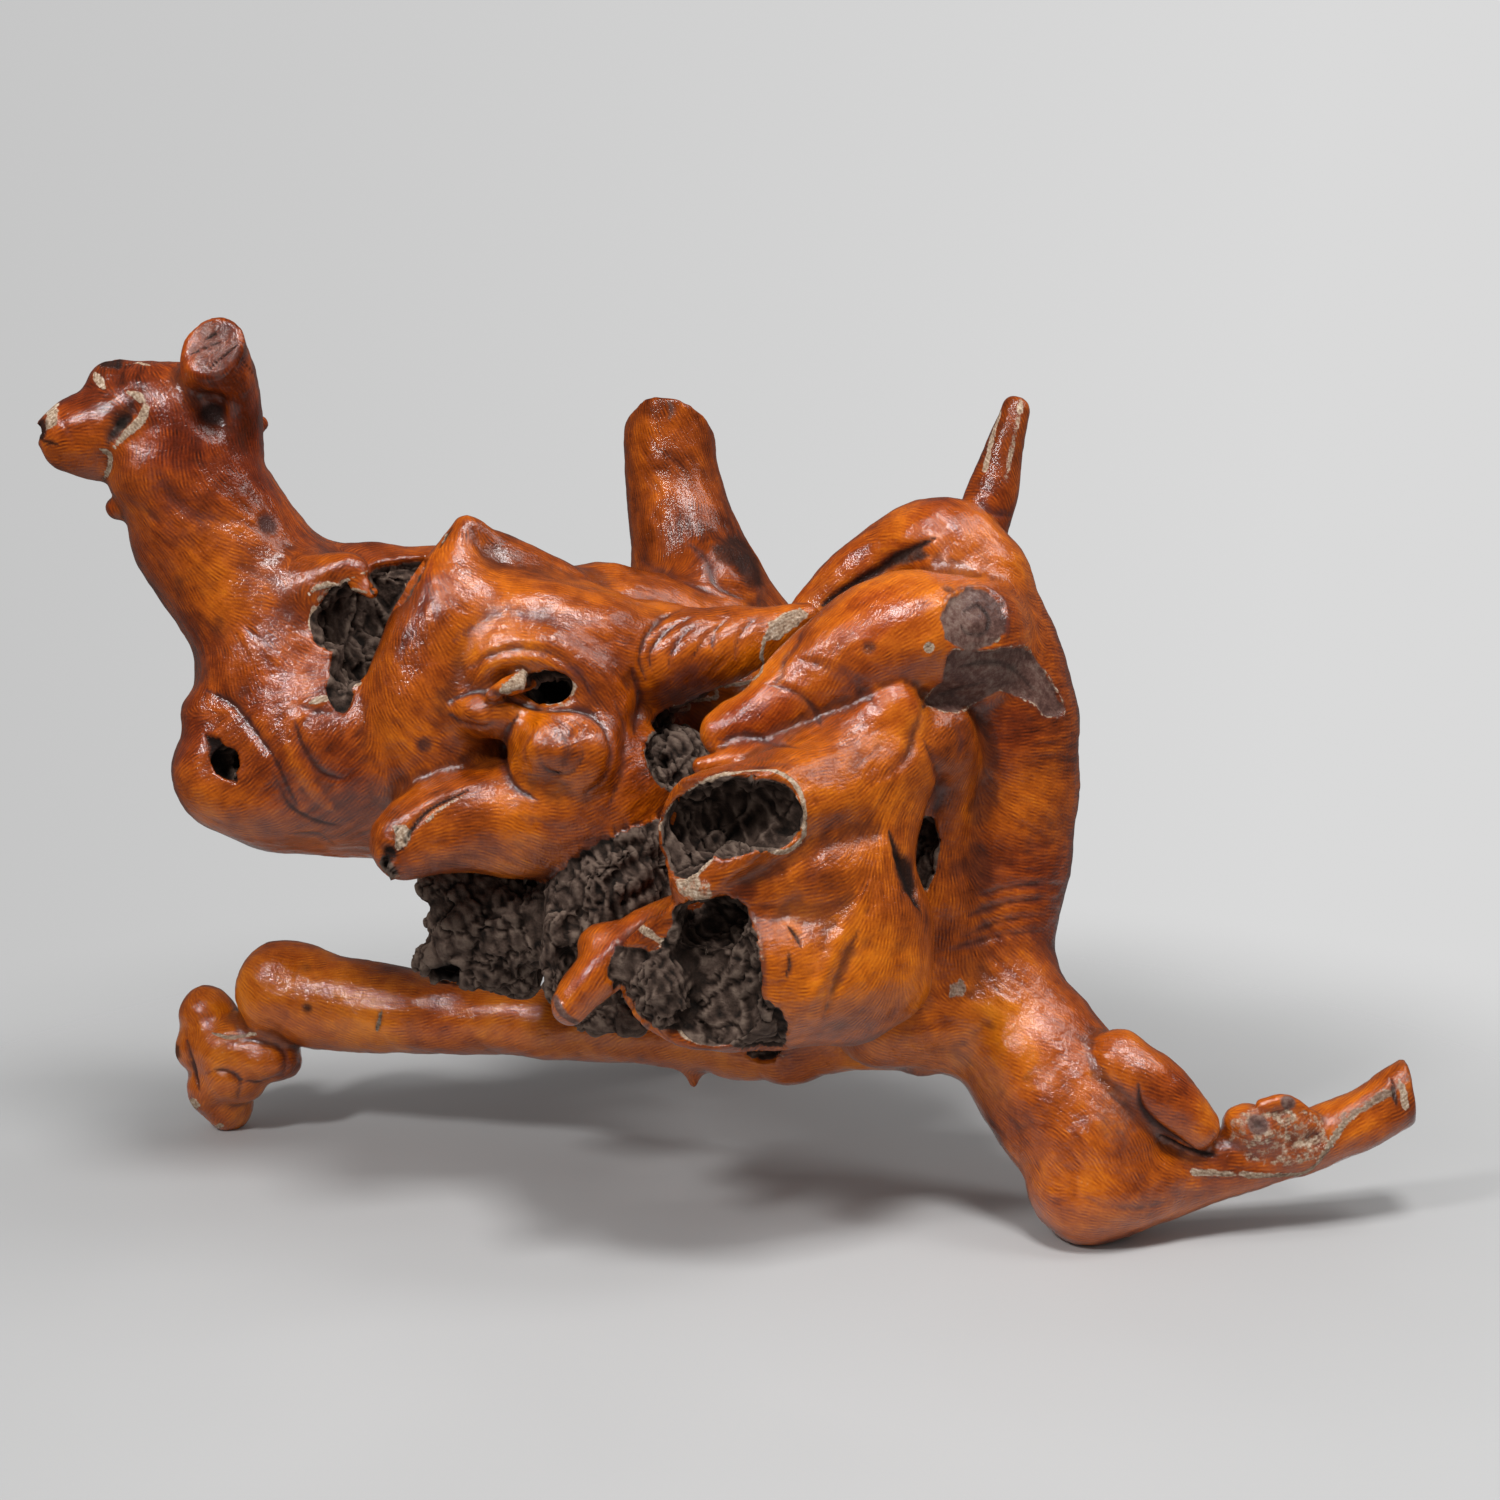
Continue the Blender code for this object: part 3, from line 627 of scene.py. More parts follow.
def coat_at(at, steps):
    """The field at the points, and what the stage that governs each of them leaves there."""
    at = grown(at)
    count = len(at)
    field = np.full(count, FAR, np.float32)
    coat = {name: np.zeros(count, np.float32) for name in ("punk", "rim", "tint", "tone", "turn")}
    way = np.zeros((count, 3), np.float32)
    for step in steps:
        off, along = step.shape.near(at)
        if step.rough:
            off = off + step.rough * crags(at)
        if step.kind == "press":
            field = step.combined(field, off)
            continue
        growing = step.kind == "grow"
        share = share_of(off, field if growing else -field, step.melt)
        crisp = step_up(0.3, 0.7, share)
        coat["rim"] *= 1.0 - crisp
        if not growing and step.rim:
            lip = np.exp(-(off**2 + field**2) / step.rim**2)
            coat["rim"] = np.maximum(coat["rim"], lip)
        coat["punk"] += (step.rotted - coat["punk"]) * crisp
        if growing:
            for name in ("tint", "tone", "turn"):
                coat[name] += (getattr(step, name) - coat[name]) * share
            if along is not None:
                way += (along - way) * share[:, None]
        field = step.combined(field, off)
    return {"field": field, "way": way, **coat}


def skinned(filled, low, cell):
    """A mesh of the skin round the volume, in millimetres, without its loose scraps."""
    grid = openvdb.FloatGrid(FAR)
    grid.copyFromArray(filled)
    points, _, faces = grid.convertToPolygons(0.0, 0.0)
    mesh = bpy.data.meshes.new("skin")
    mesh.from_pydata(low + points * cell, [], faces.tolist())
    shape = bmesh.new()
    shape.from_mesh(mesh)
    unseen = set(shape.verts)
    bodies = []
    while unseen:
        body = {unseen.pop()}
        edge = list(body)
        while edge:
            for link in edge.pop().link_edges:
                for other in link.verts:
                    if other in unseen:
                        unseen.remove(other)
                        body.add(other)
                        edge.append(other)
        bodies.append(body)
    largest = max(bodies, key=len)
    scraps = [vert for body in bodies if body is not largest for vert in body]
    bmesh.ops.delete(shape, geom=scraps, context="VERTS")
    shape.to_mesh(mesh)
    shape.free()
    return mesh


def subdivided(obj):
    """Halves the sides of the faces and rounds them."""
    modifier = obj.modifiers.new("finer", "SUBSURF")
    modifier.levels = modifier.render_levels = 1
    graph = bpy.context.evaluated_depsgraph_get()
    mesh = bpy.data.meshes.new_from_object(obj.evaluated_get(graph))
    obj.modifiers.clear()
    obj.data = mesh


def points_of(mesh):
    at = np.empty(len(mesh.vertices) * 3, np.float32)
    mesh.vertices.foreach_get("co", at)
    return at.reshape(-1, 3).astype(float)


def normals_of(mesh):
    out = np.empty(len(mesh.vertices) * 3, np.float32)
    mesh.vertex_normals.foreach_get("vector", out)
    return out.reshape(-1, 3).astype(float)


def set_points(mesh, at):
    mesh.vertices.foreach_set("co", at.astype(np.float32).ravel())
    mesh.update()


def edges_of(mesh):
    ends = np.empty(len(mesh.edges) * 2, np.int32)
    mesh.edges.foreach_get("vertices", ends)
    return ends.reshape(-1, 2)


def evened(values, ends, times):
    """The values spread to their neighbours along the edges, that many times."""
    count = len(values)
    links = np.bincount(ends.ravel(), minlength=count).astype(np.float32)
    values = values.astype(np.float32)
    columns = values.reshape(count, -1).T
    first, second = ends.T
    for _ in range(times):
        columns = np.array(
            [
                (np.bincount(first, c[second], count) + np.bincount(second, c[first], count)) / links
                for c in columns
            ]
        )
    return columns.T.reshape(values.shape)


def sight(px, py):
    """The way from the eye through a pixel of the photograph."""
    tilt = math.radians(DOWN)
    forward = np.array((0.0, math.cos(tilt), -math.sin(tilt)))
    upward = np.array((0.0, math.sin(tilt), math.cos(tilt)))
    sideways = np.array((1.0, 0.0, 0.0))
    way = forward + sideways * (px - PICTURE / 2) / FOCAL + upward * (PICTURE / 2 - py) / FOCAL
    return way / np.linalg.norm(way)


class Marks:
    """Cracks, folds, stains, painted shade and painted sheen that are laid on the skin along routes given in
    pixels of the photograph.
    """

    LEAP = 14.0  # the longest stretch of a route that doesn't jump from one part of the root to another
    SLACK = 6.0  # how far behind the nearest skin a point may lie and still be seen

    def __init__(self, at, normals, tree):
        self.at, self.normals, self.tree = at, normals, tree
        self.lift = np.zeros(len(at))
        self.paint = {name: np.zeros(len(at)) for name in PAINTS}

    def route(self, pixels):
        """Where the route meets the skin, as points and normals."""
        line = Limb.smoothed(np.array(pixels, float).reshape(-1, 2))
        found = []
        for px, py in line:
            place, normal, _, _ = self.tree.ray_cast(Vector(EYE), Vector(sight(px, py)))
            if place is not None:
                found.append((*place, *normal))
        return np.array(found)

    def near(self, pixels, room, fade):
        """(which points lie within room of the route, how far off they are, how strong the mark is there)"""
        line = self.route(pixels)
        if len(line) < 2:
            line = np.vstack([line, line + 0.01]) if len(line) else np.zeros((2, 6)) + 1e3
        places = line[:, :3]
        low, high = places.min(0) - room, places.max(0) + room
        index = np.flatnonzero(((self.at > low) & (self.at < high)).all(axis=1))
        runs = np.diff(places, axis=0)
        lengths = np.maximum((runs**2).sum(1), 1e-9)
        away = self.at[index][:, None, :] - places[:-1]
        along = np.clip(np.einsum("nsk,sk->ns", away, runs) / lengths, 0.0, 1.0)
        off = np.linalg.norm(away - along[:, :, None] * runs, axis=2)
        off[:, np.sqrt(lengths) > self.LEAP] = 1e3
        best = off.argmin(axis=1)
        row = np.arange(len(index))
        along = (best + along[row, best]) / len(runs)
        facing = np.einsum("nk,nk->n", self.normals[index], line[best, 3:])
        off = np.where(facing > 0.1, off[row, best], 1e3)
        taper = np.sin(np.pi * np.clip(along, 0.02, 0.98)) ** 0.5 if fade else np.ones(len(along))
        return index, off, taper

    def colour(self, index, share, paint):
        for name, strength in paint.items():
            self.paint[name][index] = np.maximum(self.paint[name][index], strength * share)

    def draw(self, pixels, width, depth=0.0, fade=True, sharp=False, **paint):
        """A groove (depth above 0) or ridge along the route, half as wide as width, with its paint."""
        index, off, taper = self.near(pixels, width * 3, fade)
        reach = off / (width * np.maximum(taper, 0.15))
        shape = np.maximum(0.0, 1.0 - reach) if sharp else np.exp(-(reach**2))
        self.lift[index] -= depth * taper * shape
        frayed = 1.0 if sharp else 0.1 + 1.8 * fog(self.at[index], 6.0, 73, 3)
        self.colour(index, np.clip(1.4 * shape * frayed, 0.0, 1.0), paint)

    def spot(self, px, py, size, depth=0.0, rim=0.0, **paint):
        """A round dent or knot at a pixel, with a raised rim."""
        index, off, _ = self.near((px, py, px + 0.5, py), size * 3, False)
        reach = off / size
        self.lift[index] -= depth * np.exp(-(reach**2)) - rim * np.exp(-(((reach - 1.4) / 0.5) ** 2))
        self.colour(index, np.minimum(1.0, 1.3 * np.exp(-(reach**4))), paint)

    def patch(self, pixels, depth, soft, **paint):
        """A sunk or stained patch inside an outline of pixels."""
        seen, inside, off = self.in_outline(np.array(pixels, float).reshape(-1, 2))
        reached = inside | (off < soft * 3)
        index = seen[reached]
        gap = np.where(inside, -off, off)[reached]
        ragged = (fog(self.at[index], 5.0, 71, 3) - 0.5) * 3.0
        share = step_up(soft, -soft, gap + ragged)
        self.lift[index] -= depth * share
        self.colour(index, share, paint)

    def in_view(self, off):
        """Whether the eye sees the point that lies so far off from it."""
        hit = self.tree.ray_cast(Vector(EYE), Vector(off).normalized())[3]
        return hit is None or hit > np.linalg.norm(off) - self.SLACK

    def in_outline(self, line):
        """(points that face the eye near the outline, whether each is inside, millimetres from it)"""
        tilt = math.radians(DOWN)
        off = self.at - EYE
        depth = off[:, 1] * math.cos(tilt) - off[:, 2] * math.sin(tilt)
        px = PICTURE / 2 + FOCAL * off[:, 0] / depth
        py = PICTURE / 2 - FOCAL * (off[:, 1] * math.sin(tilt) + off[:, 2] * math.cos(tilt)) / depth
        low, high = line.min(0) - 12, line.max(0) + 12
        towards = np.einsum("nk,nk->n", self.normals, off) < 0
        box = (px > low[0]) & (px < high[0]) & (py > low[1]) & (py < high[1])
        index = np.flatnonzero(towards & box)
        index = index[np.array([self.in_view(off[i]) for i in index], bool)]
        x, y = px[index], py[index]
        inside = np.zeros(len(index), bool)
        nearest = np.full(len(index), 1e9)
        for (x0, y0), (x1, y1) in zip(line, np.roll(line, -1, axis=0)):
            crosses = (y0 > y) != (y1 > y)
            inside ^= crosses & (x < (x1 - x0) * (y - y0) / (y1 - y0 + 1e-9) + x0)
            run = np.array((x1 - x0, y1 - y0))
            t = np.clip(((x - x0) * run[0] + (y - y0) * run[1]) / (run @ run), 0, 1)
            nearest = np.minimum(nearest, np.hypot(x - x0 - t * run[0], y - y0 - t * run[1]))
        return index, inside, nearest * depth[index] / FOCAL


# The marks on the skin, each under its name. A route or outline is x, y, x, y and so on, in the
# photograph's pixels.
# Strokes: width, depth, how they are painted, route.
STROKES = {
    "stub_crack_low": (0.6, 0.5, dict(sharp=True, dark=0.9), (190, 354, 206, 347, 222, 341)),
    "stub_crack_top": (1.0, 0.8, dict(sharp=True, dark=1.0), (206, 339, 217, 331)),
    "stub_crack_side": (0.8, 0.7, dict(sharp=True, dark=1.0), (206, 371, 222, 357, 240, 342)),
    "stub_split": (0.6, 0.5, dict(sharp=True, dark=0.9), (240, 355, 252, 372, 265, 389)),
    "stub_shade": (2.4, 0.2, dict(grey=0.6), (243, 345, 254, 362, 262, 378)),
    "eye_ring": (1.9, -0.6, dict(pale=1.0), (127, 392, 138, 396, 145, 405, 141, 419, 128, 432, 114, 447)),
    "eye_shade": (3.2, 0.8, dict(dark=0.75), (133, 401, 124, 413, 114, 430, 108, 444)),
    "cheek_wear": (1.5, 0.6, dict(pale=0.9, dark=0.3), (101, 450, 110, 456, 108, 472, 99, 486)),
    "brow_wear": (2.0, 0.2, dict(pale=1.0), (91, 367, 97, 378, 105, 389)),
    "crown_wear": (1.2, 0.1, dict(pale=0.8), (125, 366, 138, 363, 151, 366)),
    "mouth": (0.9, 0.8, dict(dark=0.9), (36, 436, 47, 442, 58, 444)),
    "snout_fold": (1.2, 0.4, dict(purple=0.6), (60, 420, 68, 430, 72, 445)),
    "jaw_fold": (4.0, 0.8, dict(purple=0.5), (150, 455, 158, 480, 180, 505, 212, 520, 240, 522)),
    "throat_fold": (3.0, 0.6, dict(purple=0.4), (118, 492, 150, 515, 190, 530)),
    "body_fold": (2.0, 1.5, dict(purple=0.8), (205, 690, 226, 700, 238, 710, 259, 738, 275, 761, 289, 791,
        298, 807)),
    "body_ridge": (2.6, -1.2, dict(gold=0.8), (284, 738, 298, 768, 321, 800, 334, 811)),
    "body_fold_right": (2.0, 1.4, dict(purple=0.9), (295, 722, 302, 745, 321, 772, 344, 779)),
    "body_crease": (1.4, 0.8, dict(purple=0.6, dark=0.3), (272, 770, 290, 806, 318, 822, 340, 826)),
    "body_fold_low": (1.6, 0.8, dict(purple=0.7), (289, 834, 316, 834, 334, 844)),
    "slit_wear": (1.6, 0.1, dict(pale=0.75), (180, 700, 176, 714, 182, 727)),
    "body_fold_top": (2.0, 0.9, dict(purple=0.7), (300, 705, 318, 712, 345, 712)),
    "hollow_lip": (1.2, -0.6, dict(pale=0.8), (307, 596, 318, 587, 334, 585, 355, 589, 369, 593)),
    "hollow_lip_low": (1.2, 0.0, dict(pale=1.0), (309, 703, 322, 699, 331, 697)),
    "ear_tip": (1.3, 0.3, dict(pale=0.7, dark=0.3), (442, 543, 448, 530, 456, 517, 470, 514)),
    "ear_crack": (1.2, 0.6, dict(dark=0.9), (440, 548, 446, 536, 453, 526)),
    # a purple patch on the ear, partly painted sheen
    "ear_painted_sheen": (3.4, 0.5, dict(purple=0.75, pale=0.18), (455, 640, 480, 622, 510, 612, 545, 618, 560,
        630)),
    "ear_edge": (2.2, 0.3, dict(red=0.5, purple=0.3), (432, 560, 424, 600, 408, 636, 392, 668)),
    "lower_lid": (1.6, 1.3, dict(purple=0.9, dark=0.25), (447, 702, 477, 691, 503, 697, 539, 708, 572, 710,
        600, 714)),
    "upper_lid": (2.2, 1.3, dict(purple=0.9), (470, 668, 490, 655, 520, 648, 552, 655, 578, 672, 590, 694)),
    "lid_ridge": (1.8, -0.8, dict(gold=0.8), (482, 672, 505, 661, 532, 659, 556, 668)),
    "knob_left": (1.8, 1.4, dict(purple=0.9), (520, 712, 506, 735, 504, 760, 514, 786, 538, 800)),
    "knob_right": (1.8, 1.2, dict(purple=0.8), (540, 712, 572, 708, 600, 722, 612, 748, 606, 776, 585,
        794)),
    "knob_fold": (1.4, 0.8, dict(purple=0.6, dark=0.3), (562, 733, 568, 750, 562, 768)),
    "knob_slot": (0.8, 1.0, dict(sharp=True, dark=1.0), (552, 772, 556, 774, 560, 772)),
    "knob_dent": (1.2, 0.5, dict(purple=0.5), (530, 736, 524, 752, 530, 770)),
    "knob_ring": (1.3, 0.7, dict(purple=0.5), (560, 731, 578, 741, 582, 757, 572, 772, 554, 774, 541, 763,
        540, 746, 552, 733)),
    "lid_corner": (1.6, 1.0, dict(purple=0.8), (447, 712, 460, 722, 480, 727, 498, 722)),
    "cheek_fold": (2.6, 1.1, dict(purple=0.6), (615, 700, 625, 730, 622, 770, 608, 810)),
    "cheek_fold_top": (2.2, 1.2, dict(purple=0.7, red=0.4), (632, 668, 640, 700, 634, 732)),
    "muzzle_mouth": (1.4, 1.8, dict(sharp=True, dark=1.0), (470, 789, 454, 797, 440, 803, 426, 812, 415,
        825, 407, 838, 402, 850)),
    "muzzle_lip": (0.9, -0.3, dict(pale=0.6), (468, 794, 440, 809, 422, 826)),
    "muzzle_crack": (0.7, 0.8, dict(sharp=True, dark=0.9), (400, 822, 394, 838, 402, 851)),
    "muzzle_fold": (3.0, 0.6, dict(purple=0.5), (520, 815, 560, 830, 600, 828)),
    "cone_rim": (1.0, -0.4, dict(fade=False, pale=0.75, dark=0.3), (653, 734, 660, 719, 675, 711, 688, 708,
        689, 701, 715, 698, 716, 689, 726, 686, 746, 683, 759, 674, 763, 663, 761, 653, 769, 631, 796,
        611)),
    "limb_top": (1.2, 0.1, dict(pale=0.6), (626, 402, 640, 396, 662, 394, 686, 402)),
    "limb_knot": (1.6, 0.3, dict(dark=0.3, grey=0.5), (668, 400, 672, 410, 668, 420)),
    "limb_fold": (2.0, 1.2, dict(purple=0.8, dark=0.3), (690, 545, 706, 560, 716, 585, 740, 598)),
    "limb_fold_low": (3.0, 1.0, dict(purple=0.5), (640, 560, 662, 572, 690, 584, 730, 600)),
    "arch_crease": (2.4, 2.6, dict(dark=0.8, purple=1.0), (816, 610, 843, 591, 875, 573, 895, 559, 911, 549,
        934, 539)),
    "arch_edge": (1.4, 0.6, dict(purple=0.8, dark=0.3), (816, 615, 801, 633, 796, 646, 784, 659, 781, 676,
        774, 683)),
    "lobe_fold": (3.0, 0.9, dict(purple=0.6), (800, 660, 830, 668, 862, 690, 880, 712)),
    "lobe_fold_left": (2.0, 1.0, dict(purple=0.7), (764, 684, 790, 690, 812, 706, 822, 728)),
    "lobe_fold_low": (1.8, 1.0, dict(purple=0.7), (720, 740, 745, 734, 770, 742, 800, 748)),
    "lobe_edge": (1.4, -0.8, dict(red=0.8, pale=0.25), (653, 787, 690, 781, 720, 776, 736, 764)),
    "lobe_edge_right": (1.6, 0.7, dict(purple=0.6), (736, 765, 769, 766, 800, 758)),
    "bark_rim": (1.4, -0.8, dict(fade=False, purple=0.9), (944, 606, 958, 590, 985, 588, 1004, 604, 1006,
        632)),
    "bark_crack": (1.0, 0.8, dict(dark=0.7), (964, 612, 978, 604, 990, 618, 984, 634, 966, 632, 962, 618)),
    "scar_rim": (0.9, -0.5, dict(fade=False, pale=0.45, purple=0.7), (952, 650, 978, 652, 1004, 648, 1025,
        646, 1037, 664, 1051, 680, 1065, 709, 1059, 717, 1045, 715, 1033, 703, 1000, 690, 974, 703, 956,
        713, 925, 705, 929, 693, 944, 678, 946, 658, 952, 650)),
    "scar_crack": (1.4, 0.6, dict(dark=0.5), (960, 668, 985, 664, 1012, 668, 1036, 690)),
    "scar_crack_low": (1.2, 0.5, dict(dark=0.5), (940, 696, 962, 690, 984, 684)),
    "trunk_fold": (3.4, 1.6, dict(purple=0.7), (925, 742, 938, 770, 940, 800, 930, 832)),
    "trunk_fold_top": (2.4, 0.8, dict(purple=0.5), (955, 715, 962, 740, 958, 762)),
    "spike_wear": (1.6, 0.0, dict(fade=False, pale=0.8), (985, 470, 992, 440, 1000, 412)),
    "spike_wear_right": (1.4, 0.2, dict(fade=False, pale=0.5, purple=0.6), (1006, 480, 1012, 450, 1018, 418,
        1022, 396)),
    "spike_foot": (2.0, 1.0, dict(purple=0.8), (976, 498, 992, 512, 1012, 516)),
    "upper_rim": (1.0, -0.3, dict(fade=False, pale=0.9), (654, 839, 664, 818, 682, 800, 704, 784, 730, 774,
        758, 770, 781, 774, 798, 788, 804, 809, 804, 836)),
    "lower_rim": (1.0, -0.3, dict(fade=False, pale=0.9), (804, 836, 793, 848, 778, 852, 753, 846, 726, 841,
        714, 852, 707, 862, 694, 876, 680, 885)),
    "lower_edge": (1.6, -0.5, dict(fade=False, purple=0.8, pale=0.35, dark=0.2), (752, 916, 758, 935, 762,
        968, 760, 1004, 769, 1036, 784, 1056)),
    "side_slot": (1.2, 1.0, dict(dark=0.8), (788, 926, 796, 936, 801, 947)),
    "side_slot_low": (1.0, 0.7, dict(dark=0.7), (788, 951, 790, 966, 785, 979)),
    "side_ridge": (3.4, -1.5, dict(gold=0.6), (845, 931, 832, 955, 818, 984, 808, 1009)),
    "side_ridge_top": (3.0, -1.2, dict(gold=0.6), (873, 878, 858, 905, 842, 928, 827, 947)),
    "side_fold": (3.0, 1.2, dict(purple=0.35), (858, 931, 846, 962, 834, 992, 824, 1018)),
    "side_fold_top": (4.0, 0.9, dict(purple=0.3), (818, 850, 806, 880, 790, 905, 772, 922)),
    "inner_rim": (1.6, 0.0, dict(fade=False, pale=0.9), (641, 928, 656, 938, 672, 948, 684, 958)),
    "inner_rim_low": (0.9, 0.2, dict(fade=False, pale=0.8), (673, 976, 682, 986, 693, 1002)),
    "side_gap": (2.6, 2.0, dict(dark=0.9), (889, 832, 900, 858, 912, 886, 921, 912)),
    "gap_fold": (2.6, 1.2, dict(purple=0.5), (925, 705, 915, 735, 905, 760, 880, 780)),
    "arm_cut": (1.3, 0.8, dict(pale=0.6, dark=0.7), (381, 1010, 379, 1022, 377, 1031)),
    "wrist_wear": (1.2, 0.6, dict(pale=0.7, purple=0.5), (211, 1033, 232, 1037, 258, 1033)),
    "wrist_fold": (1.6, 1.0, dict(purple=0.8), (225, 1045, 252, 1040, 282, 1050, 285, 1072, 260, 1082, 232,
        1078)),
    "paw_fold": (1.6, 1.0, dict(purple=0.8), (204, 1074, 222, 1070, 240, 1080, 236, 1102)),
    "paw_edge": (1.6, 1.2, dict(purple=0.9, dark=0.4), (187, 1040, 192, 1062, 200, 1090)),
    "claw_wear": (1.2, 0.0, dict(fade=False, pale=0.8), (207, 1124, 214, 1128, 221, 1125)),
    "bulge_crease": (1.6, 1.6, dict(dark=0.6, purple=1.0), (1138, 1084, 1141, 1107, 1158, 1126, 1178, 1140,
        1203, 1154)),
    "bulge_crease_low": (1.2, 1.2, dict(dark=0.9), (1162, 1136, 1189, 1150, 1217, 1155)),
    "heel_fold": (1.6, 0.5, dict(purple=0.6), (1086, 1197, 1110, 1206, 1140, 1208, 1169, 1203)),
    "toe_ridge": (1.3, -0.3, dict(fade=False, pale=0.75, dark=0.25), (1193, 1172, 1232, 1174, 1272, 1175,
        1306, 1172, 1327, 1148, 1348, 1120, 1389, 1093)),
    "toe_wear": (2.6, 0.0, dict(fade=False, pale=0.42, grey=0.4), (1340, 1120, 1362, 1108, 1388, 1092, 1408,
        1078)),
    "toe_slot": (1.2, 2.0, dict(sharp=True, dark=1.0), (1392, 1079, 1394, 1092, 1396, 1107)),
    "toe_end": (1.4, 0.0, dict(fade=False, pale=0.8), (1400, 1080, 1404, 1094, 1405, 1106)),
    "prong_edge": (2.0, -0.2, dict(red=0.8), (657, 927, 630, 938, 600, 955, 575, 990)),
    "prong_rot_edge": (1.6, -0.5, dict(fade=False, grey=0.7), (555, 925, 549, 952, 551, 982, 561, 1011, 584,
        1025, 624, 1033, 655, 1023)),
}
# The wrinkles of the cone and over the knee, which share one width, depth and paint each.
CONE_FOLDS = {
    "cone_fold_1": (646, 680, 640, 660, 645, 640, 655, 625, 668, 615, 690, 607),
    "cone_fold_2": (652, 672, 650, 655, 658, 640, 670, 628, 685, 620, 700, 614),
    "cone_fold_3": (690, 665, 697, 650, 705, 638, 715, 628, 722, 622),
    "cone_fold_4": (715, 655, 713, 640, 720, 626, 730, 618),
    "cone_fold_5": (735, 660, 738, 640, 748, 625, 760, 616),
    "cone_fold_6": (668, 668, 672, 652, 682, 636, 698, 624),
}
KNEE_WRINKLES = {
    "knee_wrinkle_1": (962, 938, 1003, 921, 1065, 914),
    "knee_wrinkle_2": (950, 950, 1000, 936, 1058, 930),
    "knee_wrinkle_3": (968, 916, 1010, 902, 1068, 898),
    "knee_wrinkle_4": (975, 896, 1020, 886, 1066, 884),
}
